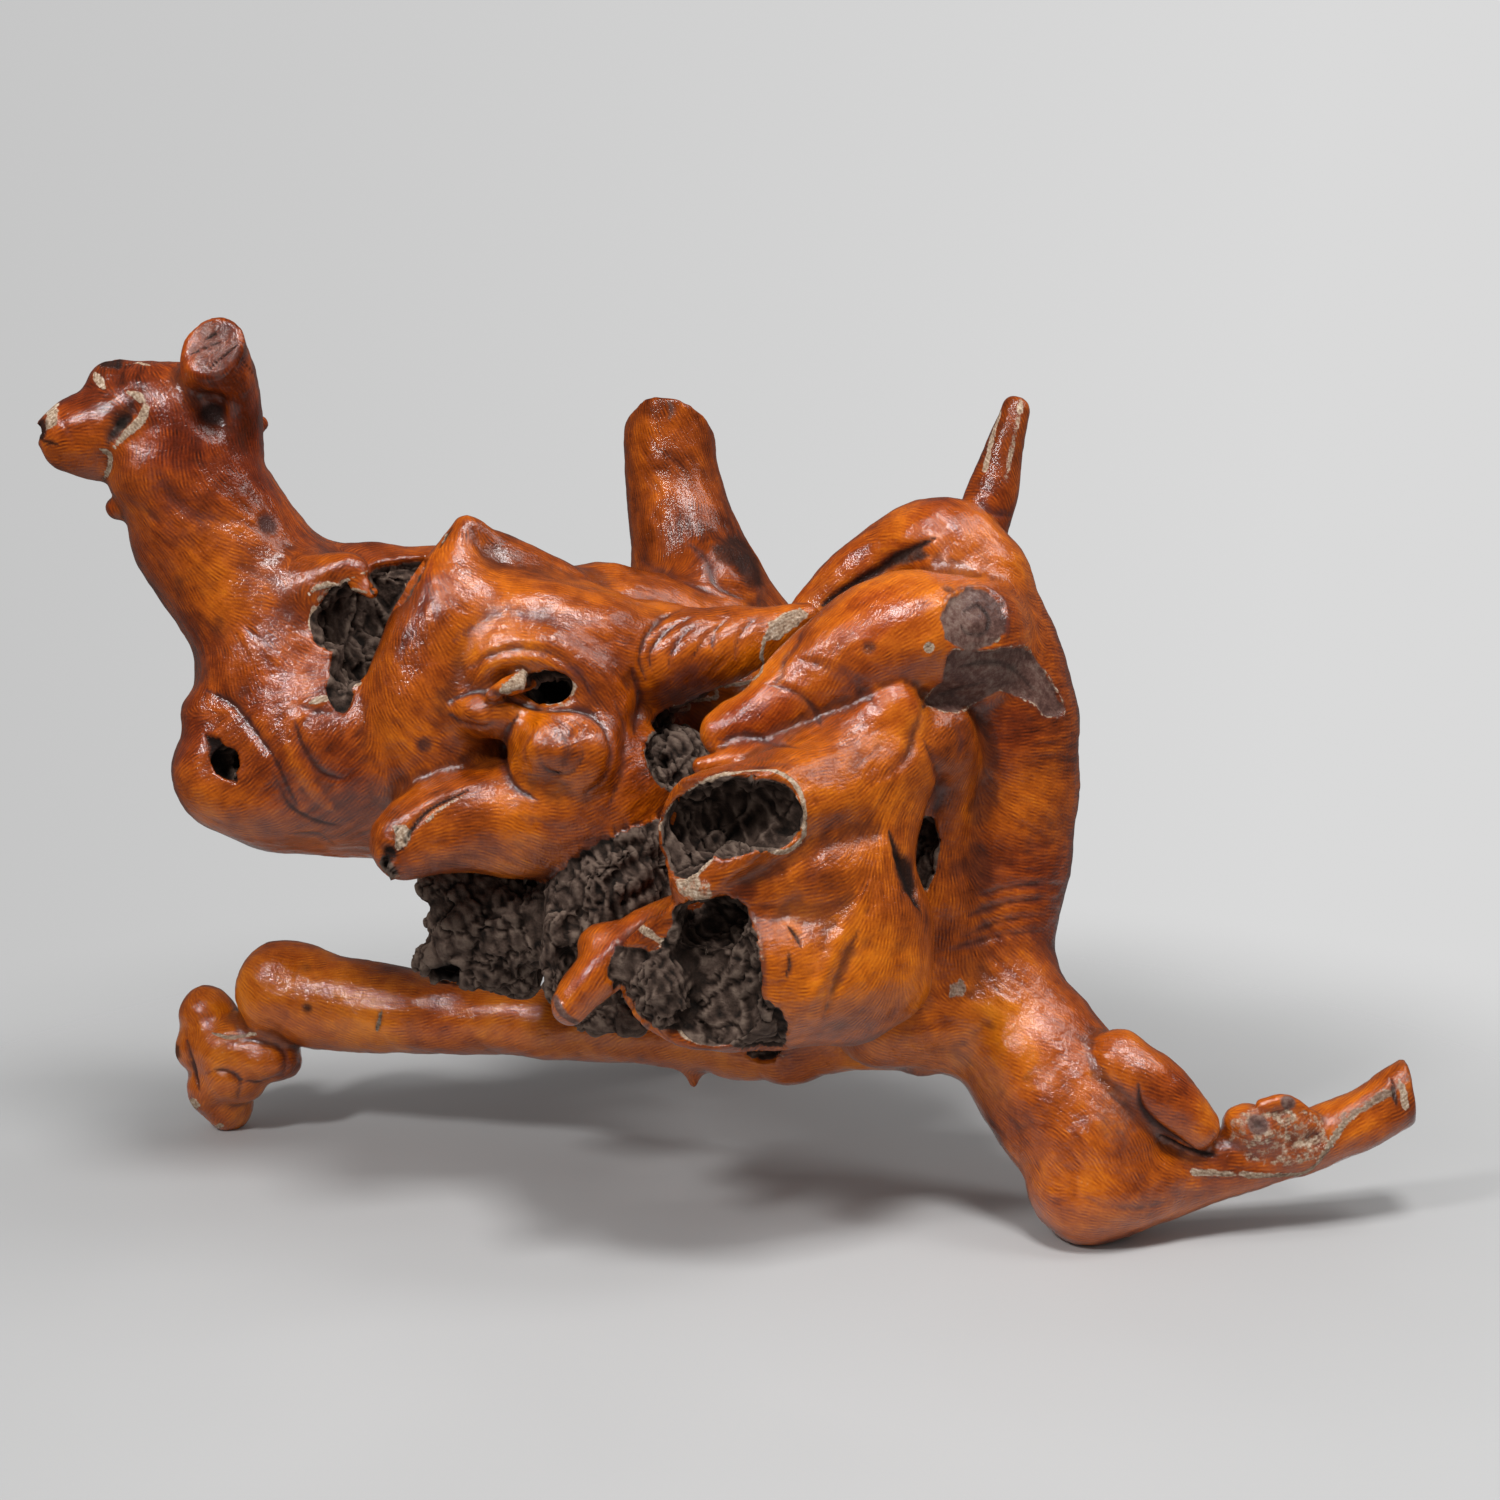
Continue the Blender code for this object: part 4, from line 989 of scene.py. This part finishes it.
# Patches: depth, softness, how they are painted, outline.
PATCHES = {
    "stub_face": (0.2, 0.8, dict(purple=0.5, grey=0.42, pale=0.15), (187, 352, 192, 332, 206, 320, 224, 321,
        238, 333, 241, 350, 234, 367, 218, 378, 200, 374)),
    "crown_hole": (0.0, 0.8, dict(dark=0.95), (97, 357, 110, 354, 123, 358, 120, 369, 99, 368)),
    "nose_tip": (0.2, 0.8, dict(dark=1.0), (34, 421, 46, 418, 46, 438, 38, 440)),
    "nose_wear": (0.0, 1.0, dict(pale=0.75), (44, 405, 60, 403, 58, 424, 47, 430)),
    "slit": (3.0, 0.8, dict(dark=1.0), (205, 735, 217, 739, 228, 757, 236, 782, 222, 775, 210, 757)),
    "hollow_corner": (5.0, 0.8, dict(rot=1.0), (371, 592, 372, 567, 386, 563, 418, 560, 428, 560, 418, 580,
        405, 600, 388, 612)),
    "eye_white": (-0.8, 0.5, dict(pale=1.0), (500, 691, 511, 680, 523, 671, 528, 676, 523, 689, 508, 694)),
    "eye_hole": (1.6, 0.6, dict(dark=1.0), (527, 676, 544, 673, 562, 676, 565, 692, 556, 702, 539, 703, 526,
        694)),
    "muzzle_wear": (0.3, 0.8, dict(pale=0.9), (393, 826, 404, 822, 411, 832, 408, 848, 396, 850)),
    # a purple patch on the cone, partly painted sheen
    "cone_painted_sheen": (0.0, 3.0, dict(purple=0.75, pale=0.15), (656, 684, 676, 668, 706, 660, 712, 684, 692, 702,
        664, 710)),
    "cone_tip": (0.0, 1.0, dict(pale=0.8), (764, 640, 768, 622, 784, 612, 800, 608, 808, 614, 797, 626, 780,
        640)),
    "limb_hollow": (0.8, 2.0, dict(dark=0.75), (712, 545, 735, 535, 762, 548, 765, 585, 748, 590, 738, 566,
        716, 560)),
    "arch_hole": (0.6, 1.5, dict(dark=0.6, grey=0.6), (889, 560, 900, 548, 922, 545, 930, 556, 908, 566,
        892, 568)),
    "bark_knot": (0.7, 1.2, dict(grey=1.0, purple=0.6), (942, 620, 948, 600, 966, 589, 988, 590, 1003, 606,
        1004, 632, 992, 646, 966, 650, 946, 640)),
    "scar": (1.1, 1.0, dict(grey=1.0), (952, 650, 978, 652, 1004, 648, 1025, 646, 1037, 664, 1051, 680,
        1065, 709, 1059, 717, 1045, 715, 1033, 703, 1000, 690, 974, 703, 956, 713, 925, 705, 929, 693, 944,
        678, 946, 658)),
    "knee_wear": (-0.3, 1.0, dict(pale=0.6, grey=0.5), (948, 984, 960, 978, 969, 986, 964, 998, 950, 997)),
    "rim_join": (0.0, 1.5, dict(pale=0.5), (673, 878, 694, 874, 712, 880, 714, 905, 690, 903, 676, 894)),
    "upper_rot": (3.0, 0.7, dict(rot=1.0), (667, 870, 658, 852, 657, 834, 662, 816, 677, 800, 699, 785, 731,
        777, 760, 774, 778, 777, 792, 790, 803, 808, 804, 822, 797, 838, 782, 846, 760, 849, 746, 841, 731,
        838, 719, 849, 706, 861, 697, 872, 683, 879)),
    "lower_rot": (2.0, 0.8, dict(rot=1.0), (683, 918, 694, 907, 713, 903, 735, 907, 751, 918, 756, 936, 759,
        958, 760, 980, 762, 998, 780, 1010, 788, 1025, 786, 1046, 774, 1060, 757, 1061, 740, 1050, 724,
        1043, 702, 1034, 665, 1030, 640, 1020, 616, 1000, 608, 970, 616, 945, 640, 950, 665, 956, 679,
        944)),
    "rim_red": (0.0, 2.0, dict(red=0.9), (728, 885, 744, 880, 758, 888, 752, 902, 734, 901)),
    "gap_hole": (1.0, 1.2, dict(dark=1.0), (894, 850, 908, 856, 918, 884, 916, 905, 904, 890, 896, 868)),
    "paw_hole": (0.0, 0.8, dict(dark=0.85), (166, 1045, 172, 1038, 180, 1046, 179, 1068, 170, 1072)),
    "paw_wear": (0.0, 0.6, dict(pale=0.8), (185, 1100, 196, 1099, 200, 1106, 194, 1113, 186, 1110)),
    # a purple-grey patch on the shin, partly painted sheen
    "shin_painted_sheen": (0.0, 4.0, dict(grey=0.35, purple=0.35), (1090, 1100, 1112, 1082, 1136, 1092, 1141, 1130,
        1124, 1155, 1100, 1140)),
    "toe_bark": (0.2, 2.5, dict(pale=0.42, purple=0.5), (1227, 1120, 1250, 1108, 1285, 1106, 1318, 1112,
        1332, 1132, 1326, 1156, 1290, 1168, 1250, 1166, 1230, 1146)),
    "heart_hole": (1.0, 1.0, dict(dark=1.0), (433, 966, 448, 958, 463, 966, 458, 984, 438, 982)),
}
# Round dents and knots: x, y, size, depth, rim, how they are painted.
SPOTS = {
    "neck_hole": (212, 414, 4.6, 1.6, 0.4, dict(dark=0.75, purple=1.0)),
    "nape_bump": (265, 414, 3.0, -1.2, 0.0, dict(red=0.5)),
    "neck_knot": (268, 525, 4.8, 0.8, 0.4, dict(purple=1.0, dark=0.55)),
    "chin_nub": (111, 507, 3.0, -0.5, 0.0, dict(red=0.5)),
    "ear_foot_knot": (424, 745, 3.0, 0.5, 0.2, dict(dark=0.5, purple=0.9)),
    "knob_bump": (561, 752, 5.0, -1.3, 0.0, dict()),
    "muzzle_hole": (388, 853, 3.2, 2.0, 0.3, dict(dark=1.0)),
    "limb_gold": (660, 470, 26.0, 0.0, 0.0, dict(gold=0.4, grey=0.12)),
    "lobe_knot": (869, 648, 2.6, 0.6, 0.3, dict(dark=0.4, purple=0.8)),
    "trunk_nick": (929, 648, 2.4, 0.4, 0.4, dict(pale=0.7)),
    "arch_knot": (948, 589, 2.4, 0.5, 0.3, dict(dark=0.4, purple=0.8)),
    "bark_middle": (976, 622, 2.2, -0.6, 0.0, dict(pale=0.4)),
    "bark_speck": (996, 638, 1.8, 0.0, 0.0, dict(pale=0.9)),
    "arm_knot": (307, 1008, 2.4, 0.5, 0.3, dict(dark=0.7)),
    "toe_knot": (1258, 1124, 4.4, 0.6, 0.8, dict(grey=0.9, purple=0.6)),
    "toe_knot_hole": (1258, 1124, 1.8, 0.4, 0.0, dict(dark=0.5)),
    "toe_knot_right": (1314, 1139, 4.0, 0.5, 0.7, dict(purple=1.0)),
    "toe_knot_top": (1288, 1102, 3.4, 0.0, 0.0, dict(grey=0.8)),
}
# Flat stains: x, y, size, colour, strength.
STAINS = {
    "nape_gold": (190, 395, 12, "gold", 0.4), "chest_gold": (235, 560, 22, "gold", 0.6),
    "throat_gold": (200, 600, 14, "gold", 0.3), "jaw_red": (175, 440, 14, "red", 0.4),
    "jaw_purple": (160, 500, 9, "purple", 0.3), "body_gold": (225, 820, 18, "gold", 0.6),
    "belly_gold": (320, 840, 14, "gold", 0.3), "slit_red": (190, 740, 10, "red", 0.4),
    "body_red": (265, 690, 12, "red", 0.4), "ear_gold": (500, 575, 20, "gold", 0.55),
    "ear_gold_right": (560, 600, 16, "gold", 0.3), "ear_foot_gold": (400, 760, 22, "gold", 0.35),
    "ear_foot_red": (430, 690, 14, "red", 0.3), "knob_gold": (560, 750, 20, "gold", 0.75),
    "cheek_red": (640, 760, 12, "red", 0.5), "brow_gold": (540, 640, 12, "gold", 0.4),
    "muzzle_gold": (430, 840, 12, "gold", 0.6), "muzzle_gold_right": (500, 840, 16, "gold", 0.4),
    "cone_gold": (640, 600, 16, "gold", 0.5), "cone_gold_right": (730, 640, 10, "gold", 0.3),
    "lobe_red": (870, 610, 14, "red", 0.5), "lobe_red_low": (760, 720, 14, "red", 0.7),
    "arch_red": (920, 500, 16, "red", 0.3), "trunk_gold": (1050, 800, 22, "gold", 0.35),
    "trunk_red": (1000, 740, 18, "red", 0.35), "knee_purple": (1030, 960, 16, "purple", 0.3),
    "side_gold": (850, 800, 26, "gold", 0.4), "side_gold_low": (870, 960, 16, "gold", 0.5),
    "side_gold_foot": (840, 1000, 12, "gold", 0.4), "arm_red": (450, 1020, 14, "red", 0.3),
    "arm_purple": (330, 1020, 14, "purple", 0.25), "bulge_red": (1175, 1100, 13, "red", 0.7),
    "heel_purple": (1200, 1180, 12, "purple", 0.4),
}


def draw_details(marks):
    """Cracks, folds, knots and stains, with painted shade in holes and creases and painted sheen on the
    polish.
    """
    for width, depth, paint, route in STROKES.values():
        marks.draw(route, width, depth, **paint)
    for route in CONE_FOLDS.values():
        marks.draw(route, 1.3, 0.9, purple=0.55)
    for route in KNEE_WRINKLES.values():
        marks.draw(route, 2.0, 0.9, purple=0.45)
    for depth, soft, paint, outline in PATCHES.values():
        marks.patch(outline, depth, soft, **paint)
    for px, py, size, depth, rim, paint in SPOTS.values():
        marks.spot(px, py, size, depth, rim, **paint)
    for px, py, size, colour, strength in STAINS.values():
        marks.spot(px, py, size, **{colour: strength})


def along_skin(coat, at, normals):
    """The way that the fibres run at each point, along the skin."""
    way = coat["way"] - np.einsum("nk,nk->n", coat["way"], normals)[:, None] * normals
    way /= np.maximum(np.linalg.norm(way, axis=1), 1e-4)[:, None]
    turn = np.radians(coat["turn"] + (cloud(at, 30.0, 41) - 0.5) * 80.0)[:, None]
    return way * np.cos(turn) + np.cross(normals, way) * np.sin(turn)


def faces_of(mesh):
    corners = np.empty(len(mesh.polygons) * 4, np.int32)
    mesh.polygons.foreach_get("vertices", corners)
    return corners.reshape(-1, 4)


def links_of(mesh):
    """The edges of the four-sided faces and both their diagonals, as pairs of points."""
    faces = faces_of(mesh)
    return np.vstack([edges_of(mesh), faces[:, [0, 2]], faces[:, [1, 3]]])


def combed(at, links, fibres, seed, times=16):
    """Noise that is drawn out along the fibres, with a spread of about 1."""
    first, second = links.T
    run = at[second] - at[first]
    run /= np.maximum(np.linalg.norm(run, axis=1), 1e-6)[:, None]
    lean = np.abs(np.einsum("nk,nk->n", run, fibres[first] + fibres[second])) / 2
    weight = lean**8 + 0.01
    count = len(at)
    total = np.bincount(first, weight, count) + np.bincount(second, weight, count) + 0.5
    value = np.random.default_rng(seed).normal(size=count)
    for _ in range(times):
        forth = np.bincount(first, weight * value[second], count)
        back = np.bincount(second, weight * value[first], count)
        value = (forth + back + 0.5 * value) / total
    value -= evened(value, links, 2)
    return np.clip(value / max(value.std(), 1e-6), -3.0, 3.0)


def worn_skin(mesh, coat):
    """Moves the skin's points into their fine relief, and returns what the material needs to know."""
    at, normals = points_of(mesh), normals_of(mesh)
    at -= np.clip(coat["field"], -1.5, 1.5)[:, None] * normals
    tree = BVHTree.FromPolygons([Vector(p) for p in at], [tuple(p.vertices) for p in mesh.polygons])
    marks = Marks(at, normals, tree)
    draw_details(marks)
    punk = np.maximum(coat["punk"], marks.paint["rot"])
    fibres = along_skin(coat, at, normals)
    links = links_of(mesh)
    fur = combed(at, links, fibres, 61)
    swell = sum((cloud(at, size, seed) - 0.5) * height for size, height, seed in SWELLS)
    swell += fur * FUR_HEIGHT
    upright = at * (1.0, 1.0, 0.6)
    shift = np.stack([fog(at, 9.0, seed, 3) - 0.5 for seed in (33, 36, 39)], axis=1)
    room, number = blocks(upright + shift * ROT_WARP, ROT_BLOCK, 31)
    broken = (step_up(0.0, 0.10, room) - 1.0) * ROT_CRACK * (number > 0.25) + (number - 0.5) * ROT_STEP
    waves_and_crumbs = (fog(upright, 16.0, 35, 4) - 0.5) * ROT_SWELL + (fog(at, 3.0, 34, 3) - 0.5) * ROT_GRAIN
    broken += waves_and_crumbs + fur * 0.12
    lift = swell * (1.0 - punk) + broken * punk + marks.lift
    moved = at + normals * lift[:, None]
    moved[:, 2] = np.maximum(moved[:, 2], 0.0)
    set_points(mesh, moved)
    normals = normals_of(mesh)
    ends = edges_of(mesh)
    crease = np.einsum("nk,nk->n", evened(moved, ends, 3) - moved, normals) * CREASE_GAIN
    dip = np.einsum("nk,nk->n", evened(moved, ends, 24) - moved, normals) * DIP_GAIN
    paint = marks.paint
    tint = coat["tint"] / 2 + (paint["gold"] - paint["red"]) / 2
    form = [np.clip(values + 0.5, 0.0, 1.0) for values in (crease, dip, tint, fur / 6)]
    return {
        "wear": np.stack([punk, coat["rim"], 0.0 * punk, coat["tone"] + 0.5], axis=1),
        "form": np.stack(form, axis=1),
        "marks": np.stack([paint[name] for name in ("dark", "pale", "purple", "grey")], axis=1),
        "across": np.cross(normals, fibres),
    }


def piece(name, at, normals, faces, values):
    """A piece of the skin from its own faces, with the normals of the whole skin, so that no seam shows."""
    used, faces = np.unique(faces, return_inverse=True)
    mesh = bpy.data.meshes.new(name)
    mesh.from_pydata((at[used] - MIDDLE) * MM, [], faces.reshape(-1, 4).tolist())
    for layer_name, data in values.items():
        vector = data.shape[1] == 3
        layer = mesh.attributes.new(layer_name, "FLOAT_VECTOR" if vector else "FLOAT_COLOR", "POINT")
        layer.data.foreach_set("vector" if vector else "color", data[used].astype(np.float32).ravel())
    mesh.shade_smooth()
    mesh.normals_split_custom_set_from_vertices(normals[used])
    obj = bpy.data.objects.new(name, mesh)
    bpy.context.scene.collection.objects.link(obj)
    return obj


def build_root():
    growing = Growth(growth())
    mesh = skinned(*growing.volume(CELL), CELL)
    whole = bpy.data.objects.new("whole_skin", mesh)
    bpy.context.scene.collection.objects.link(whole)
    subdivided(whole)
    mesh = whole.data
    values = worn_skin(mesh, growing.coat(points_of(mesh)))
    at, normals, faces = points_of(mesh), normals_of(mesh), faces_of(mesh)
    bpy.data.objects.remove(whole)
    rotten = evened(values["wear"][:, 0], edges_of(mesh), 6)[faces].mean(axis=1) > 0.5
    across = at[faces].mean(axis=1)[:, 0]
    band = np.searchsorted(np.quantile(across[~rotten], np.arange(1, BANDS) / BANDS), across)
    groups = {f"polished_skin_{n + 1}": ~rotten & (band == n) for n in range(BANDS)}
    groups["crumbled_wood"] = rotten
    return [piece(name, at, normals, faces[group], values) for name, group in groups.items()]


class Graph:
    """A short way to write the nodes of a material or of the world."""

    def __init__(self, owner):
        owner.use_nodes = True
        self.tree = owner.node_tree

    def feed(self, socket, value):
        if isinstance(value, bpy.types.NodeSocket):
            self.tree.links.new(value, socket)
        elif value is not None:
            socket.default_value = value

    def add(self, kind, settings=None, **inputs):
        node = self.tree.nodes.new("ShaderNode" + kind)
        for name, value in (settings or {}).items():
            setattr(node, name, value)
        for name, value in inputs.items():
            key = int(name[1:]) if name[0] == "_" else name.replace("_", " ")
            self.feed(node.inputs[key], value)
        return node

    def math(self, operation, a, b=None, c=None, clamp=False):
        return self.add("Math", {"operation": operation, "use_clamp": clamp}, _0=a, _1=b, _2=c).outputs[0]

    def total(self, start, *parts):
        """The start and each part times its weight, added up."""
        for value, weight in parts:
            start = self.math("MULTIPLY_ADD", value, weight, start)
        return start

    def most(self, *values):
        return functools.reduce(lambda a, b: self.math("MAXIMUM", a, b), values)

    def mix(self, factor, a, b):
        return self.add("Mix", {"data_type": "RGBA"}, _0=factor, _6=a, _7=b).outputs[2]

    def noise(self, place, scale, detail=3.0, rough=0.5):
        return self.add("TexNoise", Vector=place, Scale=scale, Detail=detail, Roughness=rough).outputs[0]

    def ramp(self, value, *stops):
        node = self.add("ValToRGB", _0=value)
        marks = node.color_ramp.elements
        while len(marks) < len(stops):
            marks.new(1.0)
        for mark, (place, colour) in zip(marks, stops):
            mark.position = place
            mark.color = (*colour, 1.0)
        return node.outputs[0]

    def between(self, value, low, high):
        """0 below low, 1 above high."""
        smooth = {"interpolation_type": "SMOOTHSTEP"}
        return self.add("MapRange", smooth, _0=value, _1=low, _2=high).outputs[0]

    def layer(self, name):
        node = self.add("Attribute", {"attribute_name": name})
        parts = self.add("SeparateColor", Color=node.outputs["Color"])
        return [*parts.outputs, node.outputs["Alpha"]]


def wood():
    material = bpy.data.materials.new("polished_burl")
    g = Graph(material)
    place = g.add("TexCoord").outputs["Object"]
    punk, rim, _, tone = g.layer("wear")
    crease, dip, tint, fur = g.layer("form")
    dark, pale, purple, grey = g.layer("marks")
    across = g.add("Attribute", {"attribute_name": "across"}).outputs["Vector"]
    gabor = {"gabor_type": "3D"}
    fibre = g.add("TexGabor", gabor, Vector=place, Scale=290.0, Frequency=2.2, Anisotropy=1.0, _5=across)
    fibre = fibre.outputs["Value"]
    broad = g.noise(place, 30.0, 3.0, 0.6)
    patchy = g.noise(place, 130.0, 3.0, 0.6)
    speck = g.noise(place, 620.0, 2.0, 0.6)

    # The polished skin, from red-brown to orange, with darker stains and painted shade in its dips and
    # creases.
    shade = g.total(-1.06, (fibre, 0.42), (fur, 0.15), (broad, 0.95), (patchy, 0.36), (speck, 0.16))
    # Each part is lightened or darkened as a whole: partly the wood's own colour, partly painted light and
    # shade.
    shade = g.total(g.math("ADD", shade, tone), (tint, 0.10))
    hue = g.math("MULTIPLY_ADD", g.noise(place, 16.0, 2.0), 1.3, g.math("ADD", tint, -0.62), clamp=True)
    colour = g.mix(hue, g.ramp(shade, *RED_WOOD), g.ramp(shade, *GOLDEN_WOOD))
    # Brown stains in random patches, and painted shade in the wide hollows where the dip is deep.
    stain_and_hollow_shade = g.total(g.math("MULTIPLY", dip, 0.55), (g.noise(place, 45.0, 3.0, 0.65), 0.6))
    colour = g.mix(g.math("MULTIPLY", g.between(stain_and_hollow_shade, 0.57, 0.74), 0.6), colour, BROWN_STAIN_AND_HOLLOW_SHADE)
    # Purple stains, and the painted sheen of the pale room on hazy polish, in random patches and where marks
    # are purple.
    purple_stain_and_sheen = g.math("MULTIPLY", g.between(g.noise(place, 22.0, 3.0, 0.6), 0.55, 0.72), 0.28)
    purple_stain_and_sheen = g.most(g.math("MULTIPLY", purple, 0.85), purple_stain_and_sheen)
    purple_stain_and_sheen = g.math("MULTIPLY", purple_stain_and_sheen, g.between(g.noise(place, 230.0, 3.0, 0.7), 0.30, 0.62))
    colour = g.mix(purple_stain_and_sheen, colour, PURPLE_STAIN_AND_SHEEN)
    # Narrow creases are darkened: painted shade, with some of the stain that gathers in them.
    colour = g.mix(g.math("MULTIPLY", g.between(crease, 0.58, 1.0), 0.6), colour, CREASE_STAIN_AND_SHADE)

    # The bare wood on worn edges, the bark of the scars, and the rotted wood.
    bare_colour = g.ramp(g.total(g.math("MULTIPLY", speck, 0.7), (fibre, 0.3)), *BARE_WOOD)
    bark_shade = g.total(g.math("MULTIPLY", broad, 0.4), (g.noise(place, 340.0, 4.0, 0.7), 0.6))
    ragged = g.total(-0.5, (g.noise(place, 300.0, 3.0, 0.6), 1.0))
    rim = g.math("MULTIPLY", rim, g.between(g.noise(place, 75.0, 2.0), 0.35, 0.6))
    worn = g.between(g.math("ADD", g.most(rim, pale), ragged), 0.32, 0.55)
    rot_shade = g.total(
        g.math("MULTIPLY", g.noise(place, 60.0, 2.0), 0.4), (g.noise(place, 260.0, 4.0, 0.7), 0.5)
    )
    # The rotted wood is painted darker in its narrow hollows and lighter on its edges: painted shade and
    # light.
    rot_shade = g.total(g.math("ADD", rot_shade, 0.04), (g.math("SUBTRACT", 0.5, crease), 0.42))
    rot_shade = g.total(g.math("ADD", rot_shade, -0.12), (fur, 0.25))
    rotten = g.between(g.math("ADD", punk, g.math("MULTIPLY", ragged, 0.5)), 0.35, 0.6)
    barked = g.between(g.math("ADD", grey, g.math("MULTIPLY", ragged, 0.6)), 0.15, 0.75)
    colour = g.mix(worn, colour, bare_colour)
    colour = g.mix(barked, colour, g.ramp(bark_shade, *BARK))
    colour = g.mix(rotten, colour, g.ramp(rot_shade, *ROTTED_WOOD))
    # Near black painted into cracks, holes and hollows, and on dark knots: mostly painted shade.
    colour = g.mix(g.math("MULTIPLY", dark, 0.93), colour, BLACK_OF_CRACKS_AND_HOLES)

    dull = g.most(worn, rotten, dark, g.math("MULTIPLY", barked, 0.7))
    polish = g.total(0.16, (patchy, 0.4))
    glossy = g.math("MULTIPLY_ADD", tone, 2.5, -0.2, clamp=True)
    gloss = g.math("MULTIPLY", g.math("SUBTRACT", 1.0, dull, clamp=True), glossy)

    # The finest relief, in metres: fibres in the polish, crumbs in the rot.
    relief = g.total(g.math("MULTIPLY", g.noise(place, 760.0, 3.0, 0.6), 0.00031), (patchy, 0.0004))
    crumbs = g.math("MULTIPLY", g.noise(place, 700.0, 4.0, 0.7), 0.0011)
    broken = g.most(punk, dark, pale)
    height = g.add("Mix", {"data_type": "FLOAT"}, _0=broken, _2=relief, _3=crumbs).outputs[0]
    normal = g.add("Bump", Strength=1.0, Distance=1.0, Height=height).outputs[0]

    look = {
        "Base Color": colour,
        "Roughness": g.math("MULTIPLY_ADD", dull, 0.45, polish, clamp=True),
        "Coat Weight": gloss,
        "Normal": normal,
        "Coat Normal": normal,
        "Specular IOR Level": 0.15,
        "Coat Roughness": 0.08,
        "Coat IOR": 1.5,
    }
    surface = g.tree.nodes["Principled BSDF"]
    for socket, value in look.items():
        g.feed(surface.inputs[socket], value)
    return material


def floor_look():
    """A pale floor that fades into the pale surroundings far from the root, so that no horizon shows."""
    material = bpy.data.materials.new("pale_floor")
    g = Graph(material)
    place = g.add("TexCoord").outputs["Object"]
    surface = g.tree.nodes["Principled BSDF"]
    g.feed(surface.inputs["Roughness"], 0.7)
    g.feed(surface.inputs["Base Color"], g.ramp(g.noise(place, 2.2, 3.0, 0.5), *FLOOR))
    away = g.add("VectorMath", {"operation": "LENGTH"}, _0=place).outputs["Value"]
    clear = g.add("BsdfTransparent")
    join = g.add("MixShader", _0=g.between(away, 0.22, 0.62), _1=surface.outputs[0], _2=clear.outputs[0])
    g.feed(g.tree.nodes["Material Output"].inputs["Surface"], join.outputs[0])
    return material


def light(name, place, target, side, power):
    lamp = bpy.data.lights.new(name, "AREA")
    lamp.size, lamp.energy = side, power
    obj = bpy.data.objects.new(name, lamp)
    bpy.context.scene.collection.objects.link(obj)
    obj.location = place
    obj.rotation_euler = (Vector(target) - Vector(place)).to_track_quat("-Z", "Y").to_euler()


def studio():
    scene = bpy.context.scene
    scene.view_settings.view_transform = "Standard"
    world = bpy.data.worlds.new("pale_room")
    scene.world = world
    g = Graph(world)
    backdrop = g.tree.nodes["Background"]
    across = g.add("SeparateXYZ", _0=g.add("TexCoord").outputs["Generated"]).outputs["X"]
    wall = g.add("MapRange", _0=across, _1=-0.35, _2=0.25, _3=0.56, _4=0.70).outputs[0]
    g.feed(backdrop.inputs["Color"], wall)
    ray = g.add("LightPath").outputs
    strength = g.add("MapRange", _0=ray["Is Camera Ray"], _3=ROOM_LIGHT).outputs[0]
    shine = g.add("MapRange", _0=ray["Is Glossy Ray"], _3=1.0, _4=ROOM_SHINE).outputs[0]
    g.feed(backdrop.inputs["Strength"], g.math("MULTIPLY", strength, shine))
    light("softbox_above", (0.2, -0.6, 1.4), (0, 0, 0.15), 0.35, 13)
    light("softbox_left", (-0.8, -0.95, 1.15), (0, 0, 0.2), 0.22, 11)
    light("softbox_right", (0.9, -0.1, 1.3), (0, 0, 0.2), 0.4, 4)

    bpy.ops.mesh.primitive_circle_add(vertices=96, radius=4.0, fill_type="NGON", location=(0, 0, 0))
    floor = bpy.context.object
    floor.name = "floor"
    floor.data.materials.append(floor_look())

    camera = bpy.data.objects.new("camera", bpy.data.cameras.new("camera"))
    scene.collection.objects.link(camera)
    camera.data.sensor_width = SENSOR
    camera.data.lens = LENS
    camera.data.clip_start = 0.01
    camera.location = (np.array(EYE) - MIDDLE) * MM
    camera.rotation_euler = (math.radians(90 - DOWN), 0, 0)
    scene.camera = camera


studio()
pieces = build_root()
polished_burl = wood()
for part in pieces:
    part.data.materials.append(polished_burl)
    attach(part, "root")
    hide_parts("dry_root")
